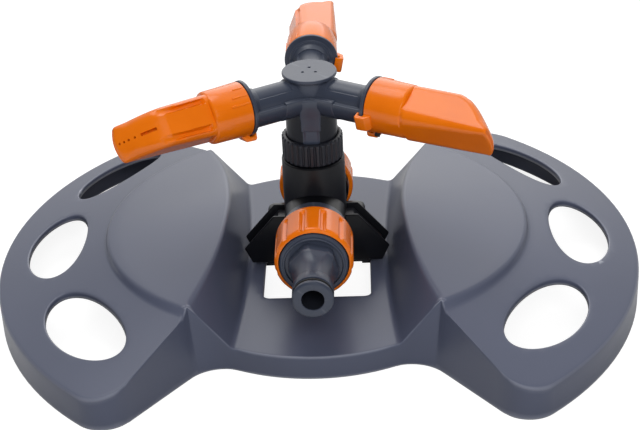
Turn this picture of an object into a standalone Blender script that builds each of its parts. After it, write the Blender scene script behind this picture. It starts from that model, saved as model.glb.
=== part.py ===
# Circular sprinkler: a three-armed spinning head on a butterfly base.
# Metres, +Z up. The origin is on the ground under the head's axis, the hose connector points along -Y
# and the wings of the base lie along X. All named sizes below are in millimetres.

import math

import bmesh
import bpy
from mathutils import Matrix, Vector

MM = 0.001
GAP = 0.3
SIDES = 26
SMALL_SIDES = 18
GRIP_SIDES = 36
ARM_SIDES = 20

# Base: outline on the ground
RIM_R = 141.0
FRONT_Y = 78.0
FRONT_BULGE_R = 75.4
NOTCH_X = 38.5
NOTCH_Y = 69.4
NOTCH_R = 17.0
EDGE_ANGLE = math.radians(52)
CORNER_R = 13.5

# Base: top surface
WALL = 2.3
DECK_Z = 10.5
DECK_EDGE_X = 31.0
DECK_EDGE_FLARE = 3.5
DECK_CORNER_Y = 70.3
CREST_Z = 45.3
CREST_SLOPE = 0.1667
CREST_IN_X = 38.2
CREST_IN_R = 187.5
CREST_TIP_Y = 69.1
CREST_OUT_X = 13.1
FOOT_TIP = (52.8, 73.2)
FOOT_SWELL = 3.4
WING_Z = 21.0
WING_R = 116.0
WING_SLOPE = 0.27
RIM_ROUND = 3.0
EDGE_STEPS = (3, 4, 7)

# Base: openings
HOLE_R = 115.7
HOLE_HALF_R = 13.5
HOLE_HALF_ANGLE = math.radians(13.2)
HOLE_ANGLES = (-34.5, 0.0, 34.5)
HOLE_LIP = 1.8
HOLE_DEPTH = 4.8
WINDOW_X = 23.2
WINDOW_Y = 32.0
WINDOW_ROUND = 3.0

# Tee body
PIPE_Z = 36.7
PIPE_R = 14.5
PIPE_END_Y = 22.0
REAR_PIPE_END_Y = 16.5
PIPE_BORE_R = 8.6
THREAD_R = 13.2
THREAD_DEPTH = 1.1
THREAD_END_Y = 34.5
REAR_THREAD_END_Y = 26.0
RISER_R = 13.6
RISER_TOP_Z = 62.5
SPIGOT_R = 11.8
SPIGOT_TOP_Z = 67.2
RISER_BORE_R = 9.5
SADDLE_HALF_Y = 6.0
SADDLE_HALF = ((18.5, 35.5), (32.0, 19.5), (28.8, 12.4))
FOOT_X = 22.5
FOOT_Z = 10.8
LUG_X = 21.8
LUG_TOP_Z = 32.5
LUG_BACK_Y = 12.5
CLIP_X = (19.6, 22.8)
CLIP_Y = (0.5, 5.7)
CLIP_Z = (6.6, 12.0)
CLIP_HOOK = 1.8
CLIP_HOOK_Z = 7.75

# Hose connector, outlet cap and their grip rings
GRIP_R = 16.5
GRIP_IN_R = 14.6
GRIP_Y = (28.0, 48.0)
REAR_GRIP_Y = (18.5, 33.0)
GRIP_PADS = 12
GRIP_GROOVE = (2.2, 0.7)
GRIP_PHASE = math.radians(15.0)
REAR_GRIP_TURN = math.radians(4.0)
SHELL_R = 14.3
SHELL_BORE_R = 13.5
SHELL_START_Y = 25.0
REAR_SHELL_START_Y = 17.3
SEAL_R = 13.0
SEAL_THICK = 2.0
NOSE_TIP_Y = 76.0
NOSE_R = 8.5
NOSE_BORE_R = 4.6
NOSE_GROOVE_Y = 72.7
BELL_R = 10.4
SHELL_END_Y = 49.4
CAP_END_Y = 34.2

# Retaining collar and the rings that it holds
COLLAR_R = 13.1
COLLAR_Z = (62.9, 73.5)
COLLAR_BORE_R = 12.2
COLLAR_HOLE_R = 11.25
COLLAR_PLATE_Z = 71.5
COLLAR_RIBS = 32
FLANGE_R = 11.9
FLANGE_Z = (68.6, 70.2)
WASHER_Z = (67.5, 68.3)
SLIP_Z = (70.5, 71.2)

# Spinning head
HUB_R = 10.95
HUB_CONE_Z = (83.0, 90.0)
HUB_NECK_R = 9.8
SPINDLE_R = 9.1
SPINDLE_BORE_R = 6.2
SPINDLE_END_Z = 57.0
SPINDLE_SEAL_Z = 62.0
CROWN_Z = 102.4
CROWN_R = 11.6
CROWN_THICK = 1.4
DIMPLE_R = 0.8
DIMPLE_AT_R = 3.1
ARM_Z = 93.4
ARM_ANGLES = (210.0, -30.0, 90.0)
ARM_TOP_R = 7.3
ARM_LOW_R = 9.4
ARM_STEP_Z = 0.7
SLEEVE_X = (24.5, 30.6)
ARM_FLANGE_X = (30.2, 31.8)
ARM_FLANGE_R = 11.7
ARM_SPIGOT_R = 8.6
ARM_SPIGOT_X = 47.5
ARM_BORE_R = 5.6
ARM_START_X = 3.0
ARM_GROOVE_X = 42.5
PIN_GROOVE_X = 35.6
PIN_GROOVE = (1.6, 1.4)

# Nozzles, in each arm's frame: x out along the arm, y towards the slot, z along the flat side
NOZZLE_TURN = (38.3, 24.5, 21.4)
NOZZLE_START_X = 32.1
NOZZLE_COLLAR_R = 11.6
NOZZLE_SHOULDER_X = 49.0
NOZZLE_SHOULDER_R = 11.1
NOZZLE_TIP_X = 87.6
NOZZLE_BEND_X = 70.5
NOZZLE_SIDE = (8.9, 7.7)
NOZZLE_FRONT = (9.0, 10.6)
NOZZLE_BACK = (10.3, 7.9)
NOZZLE_ROUND = (4.2, 1.9)
NOZZLE_BORE_R = 8.95
HOOK_X = (28.9, 29.9, 32.1, 35.4)
HOOK_R = (10.2, 12.0, 13.9)
HOOK_WIDTH = 6.6
HOOK_ANGLES = (170.0, -115.0)
JETS = ((73.2, 5.0, 1.0), (77.2, 0.8, 0.8), (79.2, 0.8, 0.8), (81.0, 0.8, 0.8), (82.7, 0.8, 0.8))
JET_DEPTH = 4.6
TIP_TAPER = 2.4
PIN_ANGLE = -144.5
PIN_R = 1.2

# Colours as linear RGB
SLATE = (0.085, 0.092, 0.115)
CHARCOAL = (0.022, 0.023, 0.026)
DARK_GREY = (0.045, 0.050, 0.062)
ORANGE = (0.80, 0.17, 0.012)
RUBBER = (0.008, 0.008, 0.009)
ACETAL = (0.62, 0.62, 0.60)


def clear_scene():
    for item in list(bpy.data.objects):
        bpy.data.objects.remove(item, do_unlink=True)


def new_collection(name):
    group = bpy.data.collections.new(name)
    bpy.context.scene.collection.children.link(group)
    return group


def make_material(name, colour, roughness, metallic=0.0):
    material = bpy.data.materials.new(name)
    material.use_nodes = True
    shader = material.node_tree.nodes["Principled BSDF"]
    shader.inputs["Base Color"].default_value = (*colour, 1.0)
    shader.inputs["Roughness"].default_value = roughness
    shader.inputs["Metallic"].default_value = metallic
    material.diffuse_color = (*colour, 1.0)
    return material


def add_object(name, mesh, material=None, place=None):
    thing = bpy.data.objects.new(name, mesh)
    if material is None:
        CUTTERS.objects.link(thing)
        thing.hide_render = True
        thing.display_type = "WIRE"
    else:
        PARTS.objects.link(thing)
        mesh.materials.append(material)
    if place is not None:
        thing.matrix_world = place
    return thing


def from_bmesh(name, bm, material=None, place=None):
    mesh = bpy.data.meshes.new(name)
    bmesh.ops.recalc_face_normals(bm, faces=bm.faces)
    bm.to_mesh(mesh)
    bm.free()
    return add_object(name, mesh, material, place)


def turned(name, profile, material=None, place=None, sides=SIDES):
    """A profile of (radius, height) pairs, down its outer side, turned about its local Z axis."""
    closed = profile[0][0] > 0 or profile[-1][0] > 0
    count = len(profile)
    edges = [(i, i + 1) for i in range(count - 1)]
    if closed:
        edges.append((count - 1, 0))
    mesh = bpy.data.meshes.new(name)
    mesh.from_pydata([(r * MM, 0.0, z * MM) for r, z in profile], edges, [])
    thing = add_object(name, mesh, material, place)
    screw = thing.modifiers.new("Turn", "SCREW")
    screw.steps = sides
    screw.render_steps = sides
    screw.use_merge_vertices = True
    screw.merge_threshold = 0.00001
    return thing


def ring_profile(inner, outer, low, high):
    return [(outer, high), (outer, low), (inner, low), (inner, high)]


def rod_profile(radius, low, high):
    return [(0.0, high), (radius, high), (radius, low), (0.0, low)]


def box(name, low, high, material=None, place=None):
    bm = bmesh.new()
    size = [(b - a) * MM for a, b in zip(low, high)]
    centre = [(a + b) / 2 * MM for a, b in zip(low, high)]
    matrix = Matrix.Translation(centre) @ Matrix.Diagonal((*size, 1.0))
    bmesh.ops.create_cube(bm, size=1.0, matrix=matrix)
    return from_bmesh(name, bm, material, place)


def plate(name, outlines, depth, material=None, place=None):
    """Flat outlines in local XY, half of depth to each side, made a mesh so that it can be cut or joined."""
    curve = bpy.data.curves.new(name, "CURVE")
    curve.dimensions = "2D"
    curve.fill_mode = "BOTH"
    curve.extrude = depth / 2 * MM
    for outline in outlines:
        spline = curve.splines.new("POLY")
        spline.points.add(len(outline) - 1)
        for point, (x, y) in zip(spline.points, outline):
            point.co = (x * MM, y * MM, 0, 1)
        spline.use_cyclic_u = True
    drawn = bpy.data.objects.new(name + "_curve", curve)
    CUTTERS.objects.link(drawn)
    bpy.context.view_layer.update()
    graph = bpy.context.evaluated_depsgraph_get()
    mesh = bpy.data.meshes.new_from_object(drawn.evaluated_get(graph))
    bpy.data.objects.remove(drawn, do_unlink=True)
    bm = bmesh.new()
    bm.from_mesh(mesh)
    bmesh.ops.remove_doubles(bm, verts=bm.verts, dist=0.000001)
    return from_bmesh(name, bm, material, place)


def torus(name, major, minor, material, place):
    sides = 6
    profile = []
    for k in range(sides):
        turn = -2 * math.pi * k / sides
        profile.append((major + minor * math.cos(turn), minor * math.sin(turn)))
    return turned(name, profile, material, place, SMALL_SIDES)


def boolean(thing, cutter, operation):
    modifier = thing.modifiers.new(operation.title(), "BOOLEAN")
    modifier.operation = operation
    modifier.solver = "EXACT"
    modifier.object = cutter


def cut(thing, *cutters):
    for cutter in cutters:
        boolean(thing, cutter, "DIFFERENCE")


def fuse(thing, *others):
    for other in others:
        boolean(thing, other, "UNION")


def along_y(y=0.0, z=PIPE_Z, back=False):
    """Local Z along -Y (or +Y when back), with the local origin on the pipe's axis."""
    turn = Matrix.Rotation(math.radians(-90 if back else 90), 4, "X")
    return Matrix.Translation((0, y * MM, z * MM)) @ turn


def arm_frame(index, turn=0.0):
    """Local X out along the arm; a turn moves local Y up from the level, about the arm."""
    out = Matrix.Rotation(math.radians(ARM_ANGLES[index]), 4, "Z")
    spin = Matrix.Rotation(math.radians(turn), 4, "X")
    return Matrix.Translation((0, 0, ARM_Z * MM)) @ out @ spin


def along_x(frame):
    """The same frame with local Z out along the arm, for turned shapes."""
    return frame @ Matrix.Rotation(math.radians(90), 4, "Y")


# Base

def notch_end():
    return Vector((NOTCH_X + NOTCH_R * math.sin(EDGE_ANGLE),
                   -NOTCH_Y - NOTCH_R * (1 - math.cos(EDGE_ANGLE))))


def corner_centre():
    """Centre of the wing corner's round, which touches the straight edge and the rim circle."""
    start = notch_end()
    along = Vector((math.cos(EDGE_ANGLE), -math.sin(EDGE_ANGLE)))
    inward = Vector((math.sin(EDGE_ANGLE), math.cos(EDGE_ANGLE)))
    lane = start + inward * CORNER_R
    half = lane.dot(along)
    reach = (RIM_R - CORNER_R) ** 2 - lane.length_squared
    return lane + along * (math.sqrt(half * half + reach) - half)


def arc(centre, radius, start, end, steps):
    points = []
    for k in range(steps + 1):
        turn = start + (end - start) * k / steps
        points.append(Vector((centre[0] + radius * math.cos(turn), centre[1] + radius * math.sin(turn))))
    return points


def front_y(x):
    """Distance of the deck's bowed front edge from the X axis."""
    return FRONT_Y - FRONT_BULGE_R + math.sqrt(FRONT_BULGE_R ** 2 - x * x)


def ground_outline():
    """Ground outline of the front right quarter, from the deck's middle to the rim's middle."""
    deck = [Vector((x, -front_y(x))) for x in range(0, 33, 4)]
    notch_turn = math.pi / 2
    notch = arc((NOTCH_X, -NOTCH_Y - NOTCH_R), NOTCH_R, notch_turn + 0.2, notch_turn - EDGE_ANGLE, 10)
    centre = corner_centre()
    rim_turn = math.atan2(centre.y, centre.x)
    corner = arc(centre, CORNER_R, -math.pi / 2 - EDGE_ANGLE + math.radians(14), rim_turn, 12)
    corner[0] = centre - Vector((math.sin(EDGE_ANGLE), math.cos(EDGE_ANGLE))) * CORNER_R
    rim = arc((0, 0), RIM_R, rim_turn, 0.0, 24)
    return deck + notch + corner + rim[1:]


def path_lengths(path):
    total = [0.0]
    for a, b in zip(path, path[1:]):
        total.append(total[-1] + (b - a).length)
    return total


def path_point(path, lengths, distance):
    """Point and inward normal at a distance along a path whose inside is on its left."""
    for k in range(1, len(path)):
        if lengths[k] >= distance or k == len(path) - 1:
            share = (distance - lengths[k - 1]) / (lengths[k] - lengths[k - 1])
            along = (path[k] - path[k - 1]).normalized()
            return path[k - 1].lerp(path[k], share), Vector((-along.y, along.x))


def nearest_on_path(path, lengths, point):
    best = None
    for k in range(1, len(path)):
        step = path[k] - path[k - 1]
        share = max(0.0, min(1.0, (point - path[k - 1]).dot(step) / step.length_squared))
        found = path[k - 1] + step * share
        distance = (found - point).length
        if best is None or distance < best[0]:
            best = (distance, lengths[k - 1] + step.length * share)
    return best[1]


def crest_height(x, y):
    return CREST_Z - CREST_SLOPE * math.hypot(x, y)


def wing_height(x, y):
    return WING_Z + WING_SLOPE * (WING_R - math.hypot(x, y))


def crest_inner_x(y):
    return CREST_IN_X + CREST_IN_R - math.sqrt(CREST_IN_R ** 2 - y * y)


class Surface:
    """Top surface of the right half: stations from front to back, each a row from the deck outwards."""

    def __init__(self, inset):
        self.inset = inset
        self.path = ground_outline()
        self.lengths = path_lengths(self.path)
        self.tip_y = CREST_TIP_Y - 1.15 * inset
        self.tip_x = crest_inner_x(self.tip_y) + 0.7 * inset
        self.crest_out_r = math.hypot(self.tip_x - CREST_OUT_X, self.tip_y)
        self.foot_tip = Vector((FOOT_TIP[0] + 0.75 * inset, -FOOT_TIP[1] + 0.85 * inset))
        self.rim_start = nearest_on_path(self.path, self.lengths, self.foot_tip)
        self.rim_lean = (path_point(self.path, self.lengths, self.rim_start)[0] - self.foot_tip).length
        self.rim_stops = self.find_rim_stops()

    def find_rim_stops(self):
        """Distances along the outline: down the straight edge, round the corner, round the rim."""
        centre = corner_centre()
        corner_in = nearest_on_path(self.path, self.lengths,
                                    centre - Vector((math.sin(EDGE_ANGLE), math.cos(EDGE_ANGLE))) * CORNER_R)
        corner_out = nearest_on_path(self.path, self.lengths, centre * (RIM_R / centre.length))
        marks = (self.rim_start, corner_in, corner_out, self.lengths[-1])
        stops = [self.rim_start]
        for start, end, steps in zip(marks, marks[1:], EDGE_STEPS):
            stops += [start + (end - start) * (k + 1) / steps for k in range(steps)]
        return stops

    def rim(self, k, lean_in=0.0):
        """Top edge above the outline at stop k, counted from the front tip to the rim's middle."""
        distance = self.rim_stops[k]
        point, inward = path_point(self.path, self.lengths, distance)
        straight = self.rim_stops[EDGE_STEPS[0]] - self.rim_start
        share = max(0.0, 1 - (distance - self.rim_start) / straight)
        lean = self.inset + (self.rim_lean - self.inset) * share
        return point + inward * (lean + lean_in * (1 - share))

    def row(self, station):
        """Station 0 is the front end, the last one the back end."""
        half = len(self.rim_stops) - 1
        v = station / half - 1
        side = -1 if v < 0 else 1
        stop = station if v < 0 else 2 * half - station
        drop = self.inset
        deck_x = DECK_EDGE_X + DECK_EDGE_FLARE * v * v + 0.75 * drop
        deck_y = (DECK_CORNER_Y - drop) * v
        points = []
        for share in (0.0, 0.5):
            x = deck_x * share
            points.append((x, (front_y(x) - drop) * v, DECK_Z - drop))
        points.append((deck_x, deck_y, DECK_Z - drop))
        crest_out_turn = math.asin(self.tip_y / self.crest_out_r) * v
        y = self.crest_out_r * math.sin(crest_out_turn)
        inner = Vector((crest_inner_x(y) + 0.7 * drop, y))
        outer = Vector((CREST_OUT_X + self.crest_out_r * math.cos(crest_out_turn), y))
        for share in (0.0, 0.33, 0.67, 1.0):
            spot = inner.lerp(outer, share)
            points.append((spot.x, spot.y, crest_height(*spot) - drop))
        foot_from = self.foot_tip - Vector((CREST_OUT_X, 0))
        foot_r = foot_from.length - FOOT_SWELL * (1 - v * v)
        foot_turn = abs(math.atan2(foot_from.y, foot_from.x)) * v
        foot = Vector((CREST_OUT_X + foot_r * math.cos(foot_turn), foot_r * math.sin(foot_turn)))
        shoulder = self.rim(stop, RIM_ROUND)
        shoulder = Vector((shoulder.x, -side * shoulder.y))
        for share in (0.0, 0.33, 0.67, 1.0):
            spot = foot.lerp(shoulder, share)
            points.append((spot.x, spot.y, wing_height(*spot) - drop))
        edge = self.rim(stop)
        edge = Vector((edge.x, -side * edge.y))
        dip = 1.2 * min(1.0, (shoulder - edge).length / RIM_ROUND)
        points.append((edge.x, edge.y, wing_height(*edge) - dip - drop))
        return points

    def rows(self):
        return [self.row(k) for k in range(2 * len(self.rim_stops) - 1)]

    def ground(self, point):
        """Point of the outline, moved in by the inset, that the skirt reaches below a top edge point."""
        mirrored = Vector((abs(point[0]), -abs(point[1])))
        spot, inward = path_point(self.path, self.lengths,
                                  nearest_on_path(self.path, self.lengths, mirrored))
        spot = spot + inward * self.inset
        return (math.copysign(spot.x, point[0]) if abs(point[0]) > 1e-6 else 0.0,
                math.copysign(spot.y, point[1]) if abs(point[1]) > 1e-6 else 0.0)


def base_solid(name, inset, floor, material=None):
    """A closed solid from floor up to the top surface, for the base's outside or its hollow."""
    surface = Surface(inset)
    grid = []
    for row in surface.rows():
        mirrored = [(-x, y, z) for x, y, z in reversed(row[1:])]
        grid.append(mirrored + row)
    bm = bmesh.new()
    known = {}

    def vert(x, y, z):
        key = (round(x, 3), round(y, 3), round(z, 3))
        if key not in known:
            known[key] = bm.verts.new((x * MM, y * MM, z * MM))
        return known[key]

    def face(*corners):
        kept = [v for k, v in enumerate(corners) if v is not corners[k - 1]]
        if len(set(kept)) == len(kept) and len(kept) > 2:
            bm.faces.new(kept)

    top = [[vert(*point) for point in row] for row in grid]
    for a, b in zip(top, top[1:]):
        for k in range(len(a) - 1):
            face(a[k], a[k + 1], b[k + 1], b[k])
    edge = grid[0] + [row[-1] for row in grid[1:-1]] + grid[-1][::-1] + [row[0] for row in grid[-2:0:-1]]
    upper = []
    for point in edge:
        corner = vert(*point)
        if not upper or (corner is not upper[-1] and corner is not upper[0]):
            upper.append(corner)
    lower = [vert(*surface.ground((c.co.x / MM, c.co.y / MM)), floor) for c in upper]
    for k in range(len(upper)):
        face(upper[k - 1], lower[k - 1], lower[k], upper[k])
    bottom = [v for k, v in enumerate(lower) if v is not lower[k - 1]]
    bm.faces.new(bottom[::-1])
    return from_bmesh(name, bm, material)


def hole_loop(side, middle, grow, steps=24):
    points = []
    for k in range(steps):
        turn = 2 * math.pi * k / steps
        r = HOLE_R + (HOLE_HALF_R + grow) * math.cos(turn)
        wide = HOLE_HALF_ANGLE + grow / HOLE_R
        angle = math.radians(middle) + wide * math.sin(turn)
        points.append((side * r * math.cos(angle), side * r * math.sin(angle)))
    return points


def loop_solid(bm, loops):
    """Walls between successive closed loops, the last one joined to the first."""
    rings = [[bm.verts.new([c * MM for c in point]) for point in loop] for loop in loops]
    for a, b in zip(rings, rings[1:] + rings[:1]):
        for k in range(len(a)):
            bm.faces.new((a[k - 1], a[k], b[k], b[k - 1]))


def hole_lips():
    """Short walls hanging below the wing round each hole."""
    bm = bmesh.new()
    for side in (-1, 1):
        for middle in HOLE_ANGLES:
            inner = hole_loop(side, middle, -0.6)
            outer = hole_loop(side, middle, HOLE_LIP)
            loops = []
            for loop, drop in ((inner, 0.7), (outer, 0.7), (outer, HOLE_DEPTH), (inner, HOLE_DEPTH)):
                loops.append([(x, y, wing_height(x, y) - drop) for x, y in loop])
            loop_solid(bm, loops)
    return from_bmesh("hole_lips", bm)


def base_openings():
    """Upright cutters for the six wing holes and the window in the deck."""
    outlines = [hole_loop(side, middle, 0.0) for side in (-1, 1) for middle in HOLE_ANGLES]
    window = []
    for sx, sy, start in ((1, 1, 0), (-1, 1, 90), (-1, -1, 180), (1, -1, 270)):
        centre = (sx * (WINDOW_X - WINDOW_ROUND), sy * (WINDOW_Y - WINDOW_ROUND))
        turn = math.radians(start)
        window += [tuple(p) for p in arc(centre, WINDOW_ROUND, turn, turn + math.pi / 2, 4)]
    return plate("base_openings", outlines + [window], 2 * CREST_Z)


def make_base(material):
    base = base_solid("base", 0.0, 0.0, material)
    cut(base, base_solid("base_hollow", WALL, -4.0))
    fuse(base, hole_lips())
    cut(base, base_openings())


# Tee body

def spout_profile(start, end):
    """Outer side of a spout, from its end back over the thread to the plain pipe."""
    return [(THREAD_R - THREAD_DEPTH, end), (THREAD_R, end - THREAD_DEPTH), (THREAD_R, start),
            (PIPE_R - 0.6, start), (PIPE_R, start - 0.6)]


def make_tee(material):
    pipe = [(0.0, THREAD_END_Y)] + spout_profile(PIPE_END_Y, THREAD_END_Y)
    rear = spout_profile(REAR_PIPE_END_Y, REAR_THREAD_END_Y)
    pipe += [(r, -z) for r, z in reversed(rear)] + [(0.0, -REAR_THREAD_END_Y)]
    tee = turned("tee_body", pipe, material, along_y())
    riser = [(0.0, SPIGOT_TOP_Z), (SPIGOT_R - 0.5, SPIGOT_TOP_Z), (SPIGOT_R, SPIGOT_TOP_Z - 0.5),
             (SPIGOT_R, RISER_TOP_Z), (RISER_R - 0.6, RISER_TOP_Z), (RISER_R, RISER_TOP_Z - 0.6),
             (RISER_R, PIPE_Z - 2.0), (0.0, PIPE_Z - 2.0)]
    outline = list(SADDLE_HALF) + [(-x, z) for x, z in reversed(SADDLE_HALF)]
    upright = Matrix.Rotation(math.radians(90), 4, "X")
    saddle = plate("saddle", [outline], 2 * SADDLE_HALF_Y, place=upright)
    foot = box("saddle_foot", (-FOOT_X, 1.0 - SADDLE_HALF_Y, FOOT_Z), (FOOT_X, SADDLE_HALF_Y - 1.5, 15.0))
    lug = box("saddle_lug", (-LUG_X, SADDLE_HALF_Y - 1.0, FOOT_Z + 0.4), (LUG_X, LUG_BACK_Y, LUG_TOP_Z))
    clips = []
    for side in (-1, 1):
        near, far = sorted((side * CLIP_X[0], side * CLIP_X[1]))
        clips.append(box("saddle_clip", (near, CLIP_Y[0], CLIP_Z[0]), (far, CLIP_Y[1], CLIP_Z[1])))
        near, far = sorted((side * (CLIP_X[1] - 1.0), side * (CLIP_X[1] + CLIP_HOOK)))
        clips.append(box("clip_hook", (near, CLIP_Y[0], CLIP_Z[0]), (far, CLIP_Y[1], CLIP_HOOK_Z)))
    fuse(tee, turned("riser", riser), saddle, foot, lug, *clips)
    quarter_step = Matrix.Rotation(math.pi / (2 * SIDES), 4, "Z")
    cut(tee, turned("pipe_bore", rod_profile(PIPE_BORE_R, -50, 50), place=along_y() @ quarter_step),
        turned("riser_bore", rod_profile(RISER_BORE_R, PIPE_Z - 1.3, 80), place=quarter_step))


# Hose connector, outlet cap and their rings

def make_grip_ring(name, material, span, turn=0.0, back=False):
    """The turn is how far round the thread leaves the ring's pads when it is tight."""
    low, high = span
    profile = [(GRIP_R - 2.4, high), (GRIP_R - 0.9, high - 0.7), (GRIP_R, high - 2.4), (GRIP_R, low + 1.2),
               (GRIP_R - 0.7, low), (GRIP_IN_R, low), (GRIP_IN_R, high)]
    place = along_y(back=back) @ Matrix.Rotation(turn, 4, "Z")
    ring = turned(name, profile, material, place, GRIP_SIDES)
    bm = bmesh.new()
    width, depth = GRIP_GROOVE
    for k in range(GRIP_PADS):
        spin = Matrix.Rotation(GRIP_PHASE + 2 * math.pi * k / GRIP_PADS, 4, "Z")
        size = Matrix.Diagonal((2 * depth * MM, width * MM, (high - low - 6.0) * MM, 1.0))
        spot = Matrix.Translation((GRIP_R * MM, 0, (low + high) / 2 * MM))
        bmesh.ops.create_cube(bm, size=1.0, matrix=spin @ spot @ size)
    cut(ring, from_bmesh(name + "_grooves", bm, place=place))


def shell_profile(start, end):
    """Outer side of the threaded shell under a grip ring, up to its front flange."""
    return [(SHELL_R - 0.8, end), (SHELL_R, end - 0.8), (SHELL_R, start)]


def make_connector(material):
    """Threaded shell, bell, neck, the nose with its seal groove, and tip, hollow right through."""
    groove = NOSE_GROOVE_Y
    nose = [(NOSE_BORE_R, NOSE_TIP_Y), (NOSE_R - 0.6, NOSE_TIP_Y), (NOSE_R, NOSE_TIP_Y - 0.6),
            (NOSE_R, groove + 1.3), (NOSE_R - 1.9, groove + 1.1), (NOSE_R - 1.9, groove - 1.1),
            (NOSE_R, groove - 1.3), (NOSE_R, groove - 6.0), (NOSE_R - 0.7, groove - 6.6),
            (NOSE_R - 0.5, groove - 12.0), (NOSE_R + 0.4, groove - 15.8), (BELL_R, groove - 19.6),
            (BELL_R, SHELL_END_Y + 0.4), (SHELL_R - 1.7, SHELL_END_Y)]
    floor = THREAD_END_Y + GAP + SEAL_THICK + GAP
    inside = [(SHELL_BORE_R, SHELL_START_Y), (SHELL_BORE_R, floor), (NOSE_BORE_R, floor)]
    turned("hose_connector", nose + shell_profile(SHELL_START_Y, SHELL_END_Y) + inside, material, along_y())


def make_outlet_cap(material):
    lid = [(0.0, CAP_END_Y - 0.6), (SHELL_R - 3.0, CAP_END_Y - 0.6), (SHELL_R - 2.4, CAP_END_Y)]
    floor = REAR_THREAD_END_Y + GAP + SEAL_THICK + GAP
    inside = [(SHELL_BORE_R, REAR_SHELL_START_Y), (SHELL_BORE_R, floor), (0.0, floor)]
    profile = lid + shell_profile(REAR_SHELL_START_Y, CAP_END_Y) + inside
    turned("outlet_cap", profile, material, along_y(back=True))


def make_flat_seal(name, material, spout_end, back):
    low = spout_end + GAP
    profile = ring_profile(PIPE_BORE_R + GAP, SEAL_R, low, low + SEAL_THICK)
    turned(name, profile, material, along_y(back=back), SMALL_SIDES)


# Retaining collar

def make_collar(material):
    low, high = COLLAR_Z
    profile = [(COLLAR_R - 1.5, high), (COLLAR_R - 0.9, high), (COLLAR_R - 0.1, high - 1.6),
               (COLLAR_R - 0.1, low), (COLLAR_BORE_R, low), (COLLAR_BORE_R, COLLAR_PLATE_Z),
               (COLLAR_HOLE_R, COLLAR_PLATE_Z), (COLLAR_HOLE_R, high)]
    collar = turned("retaining_collar", profile, material, sides=COLLAR_RIBS)
    bm = bmesh.new()
    for k in range(COLLAR_RIBS):
        spin = Matrix.Rotation(2 * math.pi * (k + 0.5) / COLLAR_RIBS, 4, "Z")
        size = Matrix.Diagonal((0.9 * MM, 0.7 * MM, (high - low) * MM, 1.0))
        spot = Matrix.Translation((COLLAR_R * MM, 0, (low + high - 4.0) / 2 * MM))
        bmesh.ops.create_cube(bm, size=1.0, matrix=spin @ spot @ size)
    cut(collar, from_bmesh("collar_grooves", bm))


# Spinning head

def arm_outline():
    """Section across an arm: the lower half is wider than the upper half, with a ledge between."""
    low_turn = math.asin(ARM_STEP_Z / ARM_LOW_R)
    top_turn = math.asin(ARM_STEP_Z / ARM_TOP_R)
    upper = arc((0, 0), ARM_TOP_R, top_turn, math.pi - top_turn, 9)
    lower = arc((0, 0), ARM_LOW_R, math.pi - low_turn, 2 * math.pi + low_turn, 11)
    return [tuple(p) for p in upper + lower]


def across_arm(x):
    """Local XY across the arm at x, with local Y up."""
    upright = Matrix.Rotation(math.radians(90), 4, "Z") @ Matrix.Rotation(math.radians(90), 4, "X")
    return Matrix.Translation((x * MM, 0, 0)) @ upright


def spigot_profile():
    g0, g1 = ARM_GROOVE_X - 0.9, ARM_GROOVE_X + 0.9
    p0, p1 = PIN_GROOVE_X - PIN_GROOVE[0], PIN_GROOVE_X + PIN_GROOVE[0]
    r = ARM_SPIGOT_R
    low = r - PIN_GROOVE[1]
    return [(0.0, ARM_SPIGOT_X), (r - 0.6, ARM_SPIGOT_X), (r, ARM_SPIGOT_X - 0.6), (r, g1), (r - 1.4, g1),
            (r - 1.4, g0), (r, g0), (r, p1), (low, p1), (low, p0), (r, p0), (r, ARM_FLANGE_X[1]),
            (ARM_FLANGE_R, ARM_FLANGE_X[1]), (ARM_FLANGE_R, ARM_FLANGE_X[0]),
            (ARM_LOW_R + 0.2, ARM_FLANGE_X[0]), (ARM_LOW_R + 0.2, SLEEVE_X[0]), (0.0, SLEEVE_X[0])]


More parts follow.
